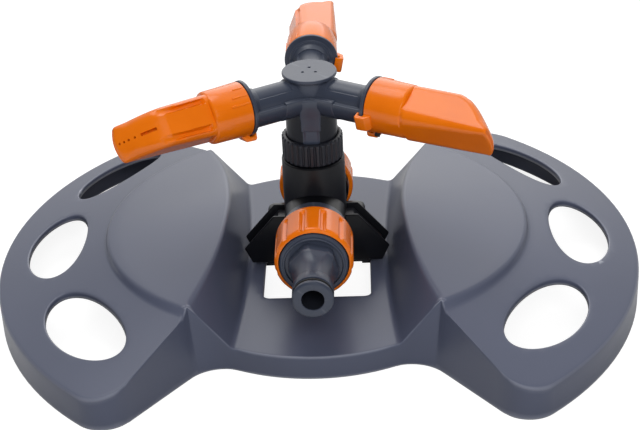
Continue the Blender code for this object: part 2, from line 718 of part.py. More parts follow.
def make_head(material, pivot):
    seal = SPINDLE_SEAL_Z
    profile = [(0.0, CROWN_Z), (CROWN_R - 0.5, CROWN_Z), (CROWN_R, CROWN_Z - 0.5),
               (CROWN_R, CROWN_Z - CROWN_THICK), (HUB_NECK_R, CROWN_Z - CROWN_THICK - 1.0),
               (HUB_NECK_R, HUB_CONE_Z[1]), (HUB_R, HUB_CONE_Z[0]), (HUB_R, FLANGE_Z[1]),
               (FLANGE_R, FLANGE_Z[1]), (FLANGE_R, FLANGE_Z[0]), (SPINDLE_R, FLANGE_Z[0]),
               (SPINDLE_R, seal + 1.2), (SPINDLE_R - 1.6, seal + 1.2), (SPINDLE_R - 1.6, seal - 1.2),
               (SPINDLE_R, seal - 1.2), (SPINDLE_R, SPINDLE_END_Z + 0.8), (SPINDLE_R - 0.8, SPINDLE_END_Z),
               (0.0, SPINDLE_END_Z)]
    head = turned("head", profile, material)
    head.parent = pivot
    frames = [arm_frame(index) for index in range(len(ARM_ANGLES))]
    start, end = ARM_START_X, SLEEVE_X[0] + 1.0
    for frame in frames:
        bar = plate("arm_bar", [arm_outline()], end - start, place=frame @ across_arm((start + end) / 2))
        fuse(head, bar)
    for frame in frames:
        fuse(head, turned("arm_spigot", spigot_profile(), place=along_x(frame), sides=ARM_SIDES))
    bore = rod_profile(SPINDLE_BORE_R, SPINDLE_END_Z - 5.0, ARM_Z + SPINDLE_BORE_R)
    cut(head, turned("spindle_bore", bore, sides=SMALL_SIDES))
    for frame in frames:
        bore = rod_profile(ARM_BORE_R, 0.3 * ARM_START_X, ARM_SPIGOT_X + 5.0)
        cut(head, turned("arm_bore", bore, place=along_x(frame), sides=SMALL_SIDES))
    bm = bmesh.new()
    for angle in ARM_ANGLES:
        spot = Matrix.Rotation(math.radians(angle), 4, "Z") @ Matrix.Translation(
            (DIMPLE_AT_R * MM, 0, CROWN_Z * MM))
        bmesh.ops.create_cone(bm, cap_ends=True, segments=10, radius1=DIMPLE_R * MM,
                              radius2=DIMPLE_R * MM, depth=2.0 * MM, matrix=spot)
    cut(head, from_bmesh("crown_dimples", bm))


# Nozzles

def section(front, back, side, steps=4):
    """Rounded box across the nozzle, from -back to front in y and -side to side in z."""
    points = []
    front_round, back_round = NOZZLE_ROUND
    reach = (front + back) / 2 - 0.1
    for sy, sz, start in ((1, 1, 0), (-1, 1, 90), (-1, -1, 180), (1, -1, 270)):
        radius = min(front_round if sy > 0 else back_round, reach, side - 0.1)
        y = front - radius if sy > 0 else -back + radius
        turn = math.radians(start)
        points += [tuple(p) for p in arc((y, sz * (side - radius)), radius, turn, turn + math.pi / 2, steps)]
    return points


def nozzle_section(x):
    """Front, back and side reach of the nozzle's body at x."""
    share = (x - NOZZLE_SHOULDER_X) / (NOZZLE_TIP_X - NOZZLE_SHOULDER_X)
    side = NOZZLE_SIDE[0] + (NOZZLE_SIDE[1] - NOZZLE_SIDE[0]) * share
    back = NOZZLE_BACK[0] + (NOZZLE_BACK[1] - NOZZLE_BACK[0]) * share
    rise = min(1.0, (x - NOZZLE_SHOULDER_X) / (NOZZLE_BEND_X - NOZZLE_SHOULDER_X))
    front = NOZZLE_FRONT[0] + (NOZZLE_FRONT[1] - NOZZLE_FRONT[0]) * rise
    if x > NOZZLE_BEND_X:
        fall = (x - NOZZLE_BEND_X) / (NOZZLE_TIP_X - NOZZLE_BEND_X)
        front -= (front + back - 2.4) * fall ** 1.25
        side -= TIP_TAPER * fall ** 5
    return front, back, side


def loft(bm, loops):
    rings = [[bm.verts.new([c * MM for c in point]) for point in loop] for loop in loops]
    for a, b in zip(rings, rings[1:]):
        for k in range(len(a)):
            bm.faces.new((a[k - 1], a[k], b[k], b[k - 1]))
    bm.faces.new(rings[0])
    bm.faces.new(rings[-1])


def nozzle_body(bm):
    stops = [NOZZLE_SHOULDER_X - 1.5, 55.0, 63.0, NOZZLE_BEND_X, 74.0, 77.5, 81.0, 84.0, 86.2, NOZZLE_TIP_X]
    loops = []
    for x in stops:
        front, back, side = nozzle_section(x)
        loops.append([(x, y, z) for y, z in section(front, back, side)])
    loft(bm, loops)


def nozzle_cavity(bm):
    loops = []
    for x in (ARM_SPIGOT_X, 60.0, 70.0, 76.0, 80.0):
        front, back, side = nozzle_section(x)
        loops.append([(x, y, z) for y, z in section(front - 2.0, back - 2.0, side - 2.0)])
    loft(bm, loops)


def slot_cutter(bm):
    """The long slot and the four small jets that follow it round the bent end."""
    for x, along, across in JETS:
        front = nozzle_section(x)[0]
        slope = (nozzle_section(x + 0.1)[0] - front) / 0.1
        lean = Matrix.Rotation(math.atan(slope), 4, "Z")
        place = Matrix.Translation((x * MM, front * MM, 0)) @ lean
        size = Matrix.Diagonal((along * MM, JET_DEPTH * MM, across * MM, 1.0))
        bmesh.ops.create_cube(bm, size=1.0, matrix=place @ size)


def groove_cutter(bm):
    for side in (-1, 1):
        place = Matrix.Translation((59.5 * MM, NOZZLE_FRONT[0] * MM, side * 5.6 * MM))
        size = Matrix.Diagonal((19.0 * MM, 3.4 * MM, 1.6 * MM, 1.0))
        bmesh.ops.create_cube(bm, size=1.0, matrix=place @ size)


def hook_outline():
    """Side view of a snap hook: x along the arm, y out from its axis, with the lip behind the flange."""
    start, back, root, end = HOOK_X
    lip, low, high = HOOK_R
    return [(start, lip), (back, lip), (back, low), (root, low), (root, NOZZLE_COLLAR_R - 1.0),
            (end, NOZZLE_COLLAR_R - 1.0), (end, NOZZLE_COLLAR_R + 0.2), (end - 1.6, high - 0.2),
            (start + 0.8, high), (start, high - 0.7)]


def make_nozzle(index, material, pin_material):
    number = index + 1
    frame = arm_frame(index, NOZZLE_TURN[index])
    collar = [(0.0, NOZZLE_SHOULDER_X), (NOZZLE_SHOULDER_R - 1.0, NOZZLE_SHOULDER_X),
              (NOZZLE_SHOULDER_R, NOZZLE_SHOULDER_X - 1.2), (NOZZLE_COLLAR_R, NOZZLE_START_X),
              (0.0, NOZZLE_START_X)]
    nozzle = turned(f"nozzle_{number}", collar, material, along_x(frame))
    bm = bmesh.new()
    nozzle_body(bm)
    fuse(nozzle, from_bmesh("nozzle_body", bm, place=frame))
    for turn in HOOK_ANGLES:
        place = arm_frame(index, NOZZLE_TURN[index] + turn)
        fuse(nozzle, plate("nozzle_hook", [hook_outline()], HOOK_WIDTH, place=place))
    bore = rod_profile(NOZZLE_BORE_R, 20, ARM_SPIGOT_X + 2 * GAP)
    cut(nozzle, turned("nozzle_bore", bore, place=along_x(frame)))
    for make in (nozzle_cavity, slot_cutter, groove_cutter):
        bm = bmesh.new()
        make(bm)
        cut(nozzle, from_bmesh("nozzle_cutter", bm, place=frame))
    pin_frame = arm_frame(index, NOZZLE_TURN[index] + PIN_ANGLE)
    upright = Matrix.Translation((PIN_GROOVE_X * MM, 0, 0)) @ Matrix.Rotation(math.radians(-90), 4, "X")
    hole = rod_profile(PIN_R + GAP, ARM_SPIGOT_R - 2, 16)
    cut(nozzle, turned("pin_hole", hole, place=pin_frame @ upright, sides=12))
    pin = [(0.0, 12.9), (PIN_R - 0.4, 12.9), (PIN_R, 12.5), (PIN_R, 7.6), (0.0, 7.6)]
    turned(f"nozzle_pin_{number}", pin, pin_material, pin_frame @ upright, 12)


def main():
    clear_scene()
    slate = make_material("slate_plastic", SLATE, 0.42)
    charcoal = make_material("charcoal_plastic", CHARCOAL, 0.40)
    dark_grey = make_material("dark_grey_plastic", DARK_GREY, 0.35)
    orange = make_material("orange_plastic", ORANGE, 0.30)
    rubber = make_material("black_rubber", RUBBER, 0.70)
    acetal = make_material("pale_acetal", ACETAL, 0.45)
    make_base(slate)
    make_tee(charcoal)
    make_connector(dark_grey)
    make_grip_ring("connector_grip_ring", orange, GRIP_Y)
    make_flat_seal("connector_washer", rubber, THREAD_END_Y, back=False)
    torus("connector_o_ring", NOSE_R - 0.75, 0.75, rubber, along_y(-NOSE_GROOVE_Y))
    make_outlet_cap(dark_grey)
    make_grip_ring("outlet_grip_ring", orange, REAR_GRIP_Y, REAR_GRIP_TURN, back=True)
    make_flat_seal("outlet_washer", rubber, REAR_THREAD_END_Y, back=True)
    make_collar(charcoal)
    washer = ring_profile(SPINDLE_R + GAP, SPIGOT_R, *WASHER_Z)
    turned("thrust_washer", washer, acetal)
    slip = ring_profile(COLLAR_HOLE_R, COLLAR_BORE_R - GAP, *SLIP_Z)
    turned("slip_ring", slip, acetal)
    pivot = bpy.data.objects.new("head_axis", None)
    PARTS.objects.link(pivot)
    make_head(dark_grey, pivot)
    level = Matrix.Translation((0, 0, SPINDLE_SEAL_Z * MM))
    torus("spindle_seal", SPINDLE_R - 0.6, 0.7, rubber, level)
    for index in range(len(ARM_ANGLES)):
        make_nozzle(index, orange, rubber)
        place = along_x(arm_frame(index)) @ Matrix.Translation((0, 0, ARM_GROOVE_X * MM))
        torus(f"nozzle_seal_{index + 1}", ARM_SPIGOT_R - 0.55, 0.55, rubber, place)


PARTS = new_collection("circular_sprinkler")
CUTTERS = new_collection("cutters")
main()
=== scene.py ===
from math import asin, atan, atan2, ceil, copysign, cos, degrees, hypot, pi, radians, sin, sqrt

import bmesh
import bpy
from mathutils import Matrix, Vector


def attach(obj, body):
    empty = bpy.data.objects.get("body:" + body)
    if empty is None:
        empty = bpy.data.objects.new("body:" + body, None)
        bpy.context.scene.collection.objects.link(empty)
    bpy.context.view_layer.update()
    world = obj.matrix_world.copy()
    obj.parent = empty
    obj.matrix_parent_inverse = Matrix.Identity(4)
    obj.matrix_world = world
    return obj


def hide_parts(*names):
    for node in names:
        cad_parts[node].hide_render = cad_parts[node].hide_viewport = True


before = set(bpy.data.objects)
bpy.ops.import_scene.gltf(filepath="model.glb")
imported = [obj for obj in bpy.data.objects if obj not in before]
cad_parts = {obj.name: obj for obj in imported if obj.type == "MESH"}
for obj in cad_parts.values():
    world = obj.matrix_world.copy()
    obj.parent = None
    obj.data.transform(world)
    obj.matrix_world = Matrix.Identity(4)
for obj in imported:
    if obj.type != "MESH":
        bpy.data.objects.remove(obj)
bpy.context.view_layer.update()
scene = bpy.context.scene
mm = 0.001


# Mesh helpers. Pieces are drawn in millimetres and scaled to metres when they are finished.

def rotation(angle, axis):
    return Matrix.Rotation(radians(angle), 4, axis)


def clamp(value):
    return min(1.0, max(0.0, value))


def placed(bm, place):
    if place is not None:
        bmesh.ops.transform(bm, matrix=place, verts=bm.verts)
    return bm


def faceOut(bm):
    bmesh.ops.recalc_face_normals(bm, faces=bm.faces)


def toMesh(bm, name):
    mesh = bpy.data.meshes.new(name)
    bm.to_mesh(mesh)
    bm.free()
    return mesh


def newObject(name, data):
    made = bpy.data.objects.new(name, data)
    scene.collection.objects.link(made)
    return made


def mergeInto(bm, part, place=None):
    spare = toMesh(placed(part, place), "spare")
    bm.from_mesh(spare)
    bpy.data.meshes.remove(spare)


def bevelEdges(bm, edges, width):
    bmesh.ops.bevel(bm, geom=edges, offset=width, offset_type="OFFSET", segments=3, profile=0.5,
                    affect="EDGES", material=-1, clamp_overlap=True)


def sharpEdges(bm, angle):
    return [e for e in bm.edges if len(e.link_faces) == 2 and e.calc_face_angle(0) > radians(angle)]


def spinRound(bm, geom, steps):
    # a full turn about Z, closed on itself
    bmesh.ops.spin(bm, geom=geom, axis=(0, 0, 1), angle=2 * pi, space=Matrix.Identity(4), steps=steps,
                   use_merge=True)
    bmesh.ops.remove_doubles(bm, verts=bm.verts, dist=0.001)


def onCircle(edge, r, z):
    return all(abs(hypot(v.co.x, v.co.y) - r) < 0.01 and abs(v.co.z - z) < 0.01 for v in edge.verts)


def turned(profile, place=None, steps=96):
    # spins a profile of (radius, height) or (radius, height, rounding) about Z, closed or ending on the axis
    bm = bmesh.new()
    verts = [bm.verts.new((point[0], 0, point[1])) for point in profile]
    pairs = list(zip(verts, verts[1:]))
    if profile[0][0] > 0 or profile[-1][0] > 0:
        pairs.append((verts[-1], verts[0]))
    spinRound(bm, verts + [bm.edges.new(pair) for pair in pairs], steps)
    faceOut(bm)
    for r, z, *rounding in profile:
        if rounding and r > 0:
            bevelEdges(bm, [e for e in bm.edges if onCircle(e, r, z)], rounding[0])
    return placed(bm, place)


def block(low, high, rounding):
    bm = bmesh.new()
    size = [b - a for a, b in zip(low, high)]
    middle = [(a + b) / 2 for a, b in zip(low, high)]
    bmesh.ops.create_cube(bm, size=1.0, matrix=Matrix.Translation(middle) @ Matrix.Diagonal((*size, 1.0)))
    bevelEdges(bm, bm.edges[:], rounding)
    return bm


def slab(outline, low, high, rounding, place=None):
    # a flat outline in XY, extruded from low to high along Z, with all its edges rounded
    bm = bmesh.new()
    face = bm.faces.new([bm.verts.new((x, y, low)) for x, y in outline])
    raised = bmesh.ops.extrude_face_region(bm, geom=[face])["geom"]
    bmesh.ops.translate(bm, vec=(0, 0, high - low),
                        verts=[v for v in raised if isinstance(v, bmesh.types.BMVert)])
    faceOut(bm)
    if rounding:
        bevelEdges(bm, sharpEdges(bm, 20), rounding)
    return placed(bm, place)


def growRing(bm, edges, keys, moveTo):
    # extrudes edges; each new vertex takes over its old one's key, and moveTo gives the place for a key
    made = bmesh.ops.extrude_edge_only(bm, edges=edges)["geom"]
    fresh = {v for v in made if isinstance(v, bmesh.types.BMVert)}
    taken = {}
    for v in fresh:
        taken[v] = keys[next(e.other_vert(v) for e in v.link_edges if e.other_vert(v) not in fresh)]
        v.co = moveTo(taken[v])
    return [e for e in made if isinstance(e, bmesh.types.BMEdge) and all(v in fresh for v in e.verts)], taken


def loft(rows, closed=True):
    # rows of equally many points, each row extruded from the one before
    bm = bmesh.new()
    verts = [bm.verts.new(point) for point in rows[0]]
    edges = [bm.edges.new((verts[k - 1], verts[k])) for k in range(0 if closed else 1, len(verts))]
    keys = {v: k for k, v in enumerate(verts)}
    if closed:
        bm.faces.new(verts)
    for row in rows[1:]:
        edges, keys = growRing(bm, edges, keys, lambda k: row[k])
    if closed:
        bm.faces.new(sorted(keys, key=keys.get))
        faceOut(bm)
    return bm


def bend(a, b, c, share):
    # a point on the curve from a to c that is pulled towards b
    return a * (1 - share) ** 2 + b * 2 * share * (1 - share) + c * share ** 2


def makePiece(name, bm, body, material, node, sharp=35, keepFacing=False):
    if not keepFacing:
        faceOut(bm)
    bmesh.ops.scale(bm, vec=(mm, mm, mm), verts=bm.verts)
    mesh = toMesh(bm, name)
    mesh.materials.append(material)
    mesh.shade_smooth()
    mesh.set_sharp_from_angle(angle=radians(sharp))
    piece = newObject(name, mesh)
    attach(piece, body)
    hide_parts(node)
    return piece


def addSecond(piece, material, chosen):
    # gives the faces that chosen picks, by their middle in millimetres, another material
    piece.data.materials.append(material)
    for face in piece.data.polygons:
        if chosen(face.center / mm):
            face.material_index = 1


def carve(bm, cutter):
    # takes the cutter's solid out of a closed mesh
    shapes = []
    for source in (bm, cutter):
        faceOut(source)
        shapes.append(newObject("shape", toMesh(source, "shape")))
    cut = shapes[0].modifiers.new("cut", "BOOLEAN")
    cut.operation = "DIFFERENCE"
    cut.solver = "EXACT"
    cut.object = shapes[1]
    bpy.context.view_layer.update()
    result = bmesh.new()
    result.from_object(shapes[0], bpy.context.evaluated_depsgraph_get())
    for shape in shapes:
        mesh = shape.data
        bpy.data.objects.remove(shape)
        bpy.data.meshes.remove(mesh)
    return result


# Materials

def fromHex(text):
    # sRGB hex to the shader's linear colour
    values = [int(text[k:k + 2], 16) / 255 for k in (1, 3, 5)]
    return tuple(v / 12.92 if v <= 0.04045 else ((v + 0.055) / 1.055) ** 2.4 for v in values) + (1.0,)


def setInputs(tree, node, inputs):
    for name, value in inputs.items():
        if isinstance(value, bpy.types.NodeSocket):
            tree.links.new(value, node.inputs[name])
        else:
            node.inputs[name].default_value = value


def addNode(tree, kind, inputs, **settings):
    node = tree.nodes.new("ShaderNode" + kind)
    for name, value in settings.items():
        setattr(node, name, value)
    setInputs(tree, node, inputs)
    return node


def addNoise(tree, where, sizeMm, detail, roughness):
    return addNode(tree, "TexNoise", {"Vector": where, "Scale": 1 / (sizeMm * mm), "Detail": detail,
                                      "Roughness": roughness}).outputs["Fac"]


def addRamp(tree, value, span, levels=(0.0, 1.0), **settings):
    inputs = {"Value": value, "From Min": span[0], "From Max": span[1], "To Min": levels[0],
              "To Max": levels[1]}
    return addNode(tree, "MapRange", inputs, **settings).outputs["Result"]


def mixColour(tree, share, first, second):
    return addNode(tree, "Mix", {0: share, 6: first, 7: second}, data_type="RGBA").outputs[2]


def shaded(name):
    material = bpy.data.materials.new(name)
    material.use_nodes = True
    return material, material.node_tree, material.node_tree.nodes["Principled BSDF"]


# what all the plastics share; a material's own values come before these
plastic = {"wear": 0.3, "wearAt": (0.52, 0.62), "flowAt": (0.32, 0.68), "roughAt": (0.3, 0.7),
           "roughDrift": 0.03, "scratchMm": 18.0, "scratchTurn": (0.4, 0.2, 0.7), "scratchThin": 14.0,
           "scratchAt": (0.62, 0.75), "scratchRough": 0.03}


def mouldedPlastic(name, **own):
    # injection moulded plastic: slow drifts of shade from the melt's flow, the mould's fine grain, faint
    # scratches from handling, and paler edges: a little wear, and where it is set strong, a painted highlight
    look = {**plastic, **own}
    light, deep, wearAndGlintColour = (fromHex(colour) for colour in look["colours"])
    material, tree, shader = shaded(name)
    where = addNode(tree, "TexCoord", {}).outputs["Object"]
    flow = addNoise(tree, where, look["flowMm"], 3.0, 0.55)
    shade = mixColour(tree, addRamp(tree, flow, look["flowAt"]), deep, light)
    edges = addNode(tree, "NewGeometry", {}).outputs["Pointiness"]
    # paler where the surface turns sharply: wear, and where it is set strong, a painted highlight along the
    # edges
    wear = addRamp(tree, edges, look["wearAt"], (0.0, look["wear"]))
    stretch = {"Vector": where, "Rotation": look["scratchTurn"],
               "Scale": (1.0, look["scratchThin"], look["scratchThin"])}
    stretched = addNode(tree, "Mapping", stretch).outputs["Vector"]
    scratches = addNoise(tree, stretched, look["scratchMm"], 4.0, 0.5)
    mark = addRamp(tree, scratches, look["scratchAt"], (0.0, look["scratchRough"]))
    levels = (look["rough"] - look["roughDrift"], look["rough"] + look["roughDrift"])
    rough = addNode(tree, "Math", {0: addRamp(tree, flow, look["roughAt"], levels), 1: mark}, operation="ADD")
    grainMm, depthMm, strength = look["grain"]
    bump = addNode(tree, "Bump", {"Height": addNoise(tree, where, grainMm, 2.0, 0.6), "Strength": strength,
                                  "Distance": depthMm * mm})
    setInputs(tree, shader, {
        "Base Color": mixColour(tree, wear, shade, wearAndGlintColour), "Roughness": rough.outputs["Value"],
        "Normal": bump.outputs["Normal"], "IOR": look["ior"], "Specular IOR Level": look["shine"]})
    return material


# colours: light and deep shade, and the pale edge colour of wear and painted highlight; grain: size and depth
# in mm, and strength
# base: satin slate-blue polypropylene off a finely textured mould; the pale along its rounded edges is a
# painted highlight
slatePolypropylene = mouldedPlastic(
    "slatePolypropylene", colours=("#4d5265", "#494e60", "#a8abb6"), wear=0.6, wearAt=(0.517, 0.557),
    ior=1.49, shine=0.4, rough=0.32, flowMm=70.0, grain=(0.9, 0.02, 0.25))
# tee and saddle: near-black glass-filled nylon, semi-gloss off a polished mould
blackNylon = mouldedPlastic(
    "blackNylon", colours=("#0c0d11", "#08090c", "#3a3b42"), ior=1.53, shine=0.3, rough=0.34, flowMm=25.0,
    grain=(0.7, 0.015, 0.2))
# collar: the same nylon, greyer off a grained mould
grainedNylon = mouldedPlastic(
    "grainedNylon", colours=("#22242b", "#1c1e25", "#5a5d68"), wear=0.4, ior=1.53, shine=0.4, rough=0.38,
    flowMm=25.0, grain=(0.5, 0.02, 0.3))
# head, hose connector and cap: dark blue-grey ABS, smoother than the base
darkGreyAbs = mouldedPlastic(
    "darkGreyAbs", colours=("#393f4e", "#333947", "#666a75"), ior=1.54, shine=0.45, rough=0.33, flowMm=30.0,
    grain=(0.7, 0.015, 0.2))
# hub's running surface and connector's bore: the same ABS, painted darker as painted shade where they lie in
# shade, and duller
paintedShadeAbs = mouldedPlastic(
    "paintedShadeAbs", colours=("#1b1d24", "#16181e", "#3a3d46"), wear=0.2, ior=1.54, shine=0.3, rough=0.3,
    flowMm=30.0, grain=(0.7, 0.01, 0.15))
# nozzles and grip rings: glossy orange ABS
orangeAbs = mouldedPlastic(
    "orangeAbs", colours=("#ec7607", "#e36e04", "#f28d3c"), wear=0.1, ior=1.54, shine=0.42, rough=0.22,
    flowMm=22.0, grain=(1.1, 0.02, 0.12))
# seals and pins: moulded nitrile rubber, dull and a little dusty
blackNitrile = mouldedPlastic(
    "blackNitrile", colours=("#1b1b1c", "#131314", "#303031"), ior=1.52, shine=0.4, rough=0.62,
    roughDrift=0.05, flowMm=8.0, grain=(0.5, 0.02, 0.3))
# sliding rings: natural acetal, waxy off-white
paleAcetal = mouldedPlastic(
    "paleAcetal", colours=("#dcdbd4", "#d0cfc8", "#e6e5df"), ior=1.48, shine=0.5, rough=0.45, roughDrift=0.04,
    flowMm=10.0, grain=(0.6, 0.01, 0.2))
print("materials made")


# Base: one thin shell with two raised wedges, six holes in the wings and a window in the deck

base = {
    # outline on the ground: rim, the deck's bowed front, the notch beside it, the wing's edge and corner
    "rimR": 141.0, "frontY": 78.0, "bulgeR": 75.4, "notch": (38.5, 69.4), "notchR": 17.0, "notchLead": 0.2,
    "edgeAngle": 52, "cornerR": 13.5, "cornerLead": 14,
    # deck
    "deckZ": 10.5, "deckEdgeX": 31.0, "deckFlare": 3.5, "deckCornerY": 70.3,
    # wedge: the crest's inner and outer edge, its foot, and the wing around it
    "crestZ": 45.3, "crestSlope": 0.1667, "crestInX": 38.2, "crestInR": 187.5, "crestTipY": 69.1,
    "crestOutX": 13.1, "footTip": (52.8, 73.2), "footSwell": 3.4, "wingZ": 21.0, "wingR": 116.0,
    "wingSlope": 0.27,
    # how finely it is drawn, and its rounded edges
    "edgeSteps": (9, 12, 21), "steps": (12, 9, 9, 8, 20), "bendSteps": 5, "rounds": (2.0, 2.2, 1.5, 1.2),
    "edgeRound": 1.4, "footHeight": 0.7, "wall": 2.1, "trim": 0.9995,
    # wing holes, each (middle angle, distance from the centre, half width)
    "holes": ((-34.5, 115.7, 13.1), (0.0, 115.7, 12.9), (34.5, 117.8, 11.1)), "holeHalfAngle": 13.1,
    "holeRound": 0.9, "holeWall": (1.8, 3.0), "holeClear": 0.7,
    "window": (23.2, 32.0), "windowCorner": 3.0, "windowRound": 0.9, "windowClear": 0.5,
    "windowLevels": ((0.45, 0.12), (0.12, 0.45), (0.0, 0.9), (0.0, 2.2))}
edgeTurn = radians(base["edgeAngle"])
edgeAlong = Vector((cos(edgeTurn), -sin(edgeTurn)))
edgeIn = Vector((sin(edgeTurn), cos(edgeTurn)))
# corners of a rounded box: signs, and the turn where each round starts
quarters = ((1, 1, 0), (-1, 1, pi / 2), (-1, -1, pi), (1, -1, 1.5 * pi))


def arcPoints(centre, radius, start, end, steps):
    turns = [start + (end - start) * k / steps for k in range(steps + 1)]
    return [Vector((centre[0] + radius * cos(t), centre[1] + radius * sin(t))) for t in turns]


def cornerCentre():
    # the wing corner's round touches the straight edge and the rim's circle
    (notchX, notchY), r = base["notch"], base["notchR"]
    start = Vector((notchX + r * sin(edgeTurn), -notchY - r * (1 - cos(edgeTurn))))
    lane = start + edgeIn * base["cornerR"]
    half = lane.dot(edgeAlong)
    reach = (base["rimR"] - base["cornerR"]) ** 2 - lane.length_squared
    return lane + edgeAlong * (sqrt(half * half + reach) - half)


def frontEdgeY(x):
    return base["frontY"] - base["bulgeR"] + sqrt(base["bulgeR"] ** 2 - x * x)


def groundOutline():
    # front right quarter of the outline on the ground, from the deck's middle to the rim's middle
    (notchX, notchY), r = base["notch"], base["notchR"]
    deck = [Vector((x, -frontEdgeY(x))) for x in range(0, 33, 2)]
    notch = arcPoints((notchX, -notchY - r), r, pi / 2 + base["notchLead"], pi / 2 - edgeTurn, 20)
    centre = cornerCentre()
    rimTurn = atan2(centre.y, centre.x)
    cornerStart = -pi / 2 - edgeTurn + radians(base["cornerLead"])
    corner = arcPoints(centre, base["cornerR"], cornerStart, rimTurn, 24)
    corner[0] = centre - edgeIn * base["cornerR"]
    return deck + notch + corner + arcPoints((0, 0), base["rimR"], rimTurn, 0.0, 60)[1:]


outline = groundOutline()
outlineLengths = [0.0]
for here, there in zip(outline, outline[1:]):
    outlineLengths.append(outlineLengths[-1] + (there - here).length)


def onOutline(distance):
    # the point at a distance along the outline, and the way in from there
    for k in range(1, len(outline)):
        if outlineLengths[k] >= distance or k == len(outline) - 1:
            share = (distance - outlineLengths[k - 1]) / (outlineLengths[k] - outlineLengths[k - 1])
            along = (outline[k] - outline[k - 1]).normalized()
            return outline[k - 1].lerp(outline[k], share), Vector((-along.y, along.x))


def nearestOnOutline(point):
    best = None
    for k in range(1, len(outline)):
        step = outline[k] - outline[k - 1]
        share = clamp((point - outline[k - 1]).dot(step) / step.length_squared)
        gap = (outline[k - 1] + step * share - point).length
        if best is None or gap < best[0]:
            best = (gap, outlineLengths[k - 1] + step.length * share)
    return best[1]


def crestHeight(x, y):
    return base["crestZ"] - base["crestSlope"] * hypot(x, y)


def wingHeight(x, y):
    return base["wingZ"] + base["wingSlope"] * (base["wingR"] - hypot(x, y))


def crestInnerX(y):
    return base["crestInX"] + base["crestInR"] - sqrt(base["crestInR"] ** 2 - y * y)


tipX = crestInnerX(base["crestTipY"])
crestOutR = hypot(tipX - base["crestOutX"], base["crestTipY"])
footTip = Vector((base["footTip"][0], -base["footTip"][1]))
rimStart = nearestOnOutline(footTip)
rimLean = (onOutline(rimStart)[0] - footTip).length
straightEnd = nearestOnOutline(cornerCentre() - edgeIn * base["cornerR"])
cornerEnd = nearestOnOutline(cornerCentre() * (base["rimR"] / cornerCentre().length))
rimStops = [rimStart]
marks = (rimStart, straightEnd, cornerEnd, outlineLengths[-1])
for markFrom, markTo, count in zip(marks, marks[1:], base["edgeSteps"]):
    rimStops += [markFrom + (markTo - markFrom) * (k + 1) / count for k in range(count)]


def rowCorners(station):
    # deck's middle, deck edge, crest inside, crest outside, foot and rim, from the front (0) to the back
    half = len(rimStops) - 1
    v = station / half - 1
    side = -1 if v < 0 else 1
    stop = station if v < 0 else 2 * half - station
    deckX = base["deckEdgeX"] + base["deckFlare"] * v * v
    corners = [Vector((0, frontEdgeY(0) * v, base["deckZ"])),
               Vector((deckX, base["deckCornerY"] * v, base["deckZ"]))]
    turn = asin(base["crestTipY"] / crestOutR) * v
    y = crestOutR * sin(turn)
    for x in (crestInnerX(y), base["crestOutX"] + crestOutR * cos(turn)):
        corners.append(Vector((x, y, crestHeight(x, y))))
    footFrom = footTip - Vector((base["crestOutX"], 0))
    footR = footFrom.length - base["footSwell"] * (1 - v * v)
    footTurn = abs(atan2(footFrom.y, footFrom.x)) * v
    x, y = base["crestOutX"] + footR * cos(footTurn), footR * sin(footTurn)
    corners.append(Vector((x, y, wingHeight(x, y))))
    point, inward = onOutline(rimStops[stop])
    straight = rimStops[base["edgeSteps"][0]] - rimStart
    lean = rimLean * max(0.0, 1 - (rimStops[stop] - rimStart) / straight)
    spot = point + inward * lean
    corners.append(Vector((spot.x, -side * spot.y, wingHeight(spot.x, spot.y))))
    return corners, v


def baseRow(station):
    corners, v = rowCorners(station)
    bends = []
    for k in range(1, 5):
        before, corner, after = corners[k - 1], corners[k], corners[k + 1]
        reach = min(base["rounds"][k - 1], 0.42 * (corner - before).length, 0.42 * (after - corner).length)
        start = corner + (before - corner).normalized() * reach
        end = corner + (after - corner).normalized() * reach
        if k == 4:
            end.z = wingHeight(end.x, end.y)
        bends.append((start, corner, end))
    row = []
    reached = corners[0]
    for (start, corner, end), steps in zip(bends, base["steps"]):
        row += [reached.lerp(start, k / steps) for k in range(steps)]
        row += [bend(start, corner, end, k / base["bendSteps"]) for k in range(base["bendSteps"])]
        reached = end
    steps = base["steps"][-1]
    for k in range(steps + 1):
        spot = reached.lerp(corners[5], k / steps)
        row.append(Vector((spot.x, spot.y, wingHeight(spot.x, spot.y))))
    # the deck's front and back edges bow outwards
    for point in row[:base["steps"][0] + base["bendSteps"]]:
        if abs(point.z - base["deckZ"]) < 0.001 and point.x < base["deckEdgeX"]:
            point.y = frontEdgeY(point.x) * v
    return [Vector((-p.x, p.y, p.z)) for p in reversed(row[1:])] + row


def groundBelow(point):
    spot = onOutline(nearestOnOutline(Vector((abs(point.x), -abs(point.y)))))[0]
    near = [copysign(out, way) if abs(way) > 1e-6 else 0.0 for out, way in zip(spot, point)]
    return Vector((*near, 0.0))


def openUp(bm, inside, points, heightAt):
    # opens the surface where inside says so, and closes it again up to a new ring of points
    gone = {f for f in bm.faces if any(inside(v.co) for v in f.verts)}
    border = [e for e in bm.edges if len(e.link_faces) == 2 and sum(f in gone for f in e.link_faces) == 1]
    bmesh.ops.delete(bm, geom=[f for f in bm.faces if f in gone], context="FACES")
    verts = [bm.verts.new((x, y, heightAt(x, y))) for x, y in points]
    edges = [bm.edges.new((verts[k - 1], verts[k])) for k in range(len(verts))]
    filled = bmesh.ops.triangle_fill(bm, edges=border + edges, use_beauty=True, normal=(0, 0, 1))
    for face in filled["geom"]:
        if isinstance(face, bmesh.types.BMFace) and face.normal.z < 0:
            face.normal_flip()
    return edges, {v: k for k, v in enumerate(verts)}


def cutOpening(bm, inside, ringAt, heightAt, grow, levels):
    # an opening whose rim rounds over into a short wall, level by level: (way out, way down)
    edges, keys = openUp(bm, inside, ringAt(grow), heightAt)
    for outward, drop in levels:
        points = ringAt(outward)
        edges, keys = growRing(bm, edges, keys, lambda k: Vector((*points[k], heightAt(*points[k]) - drop)))


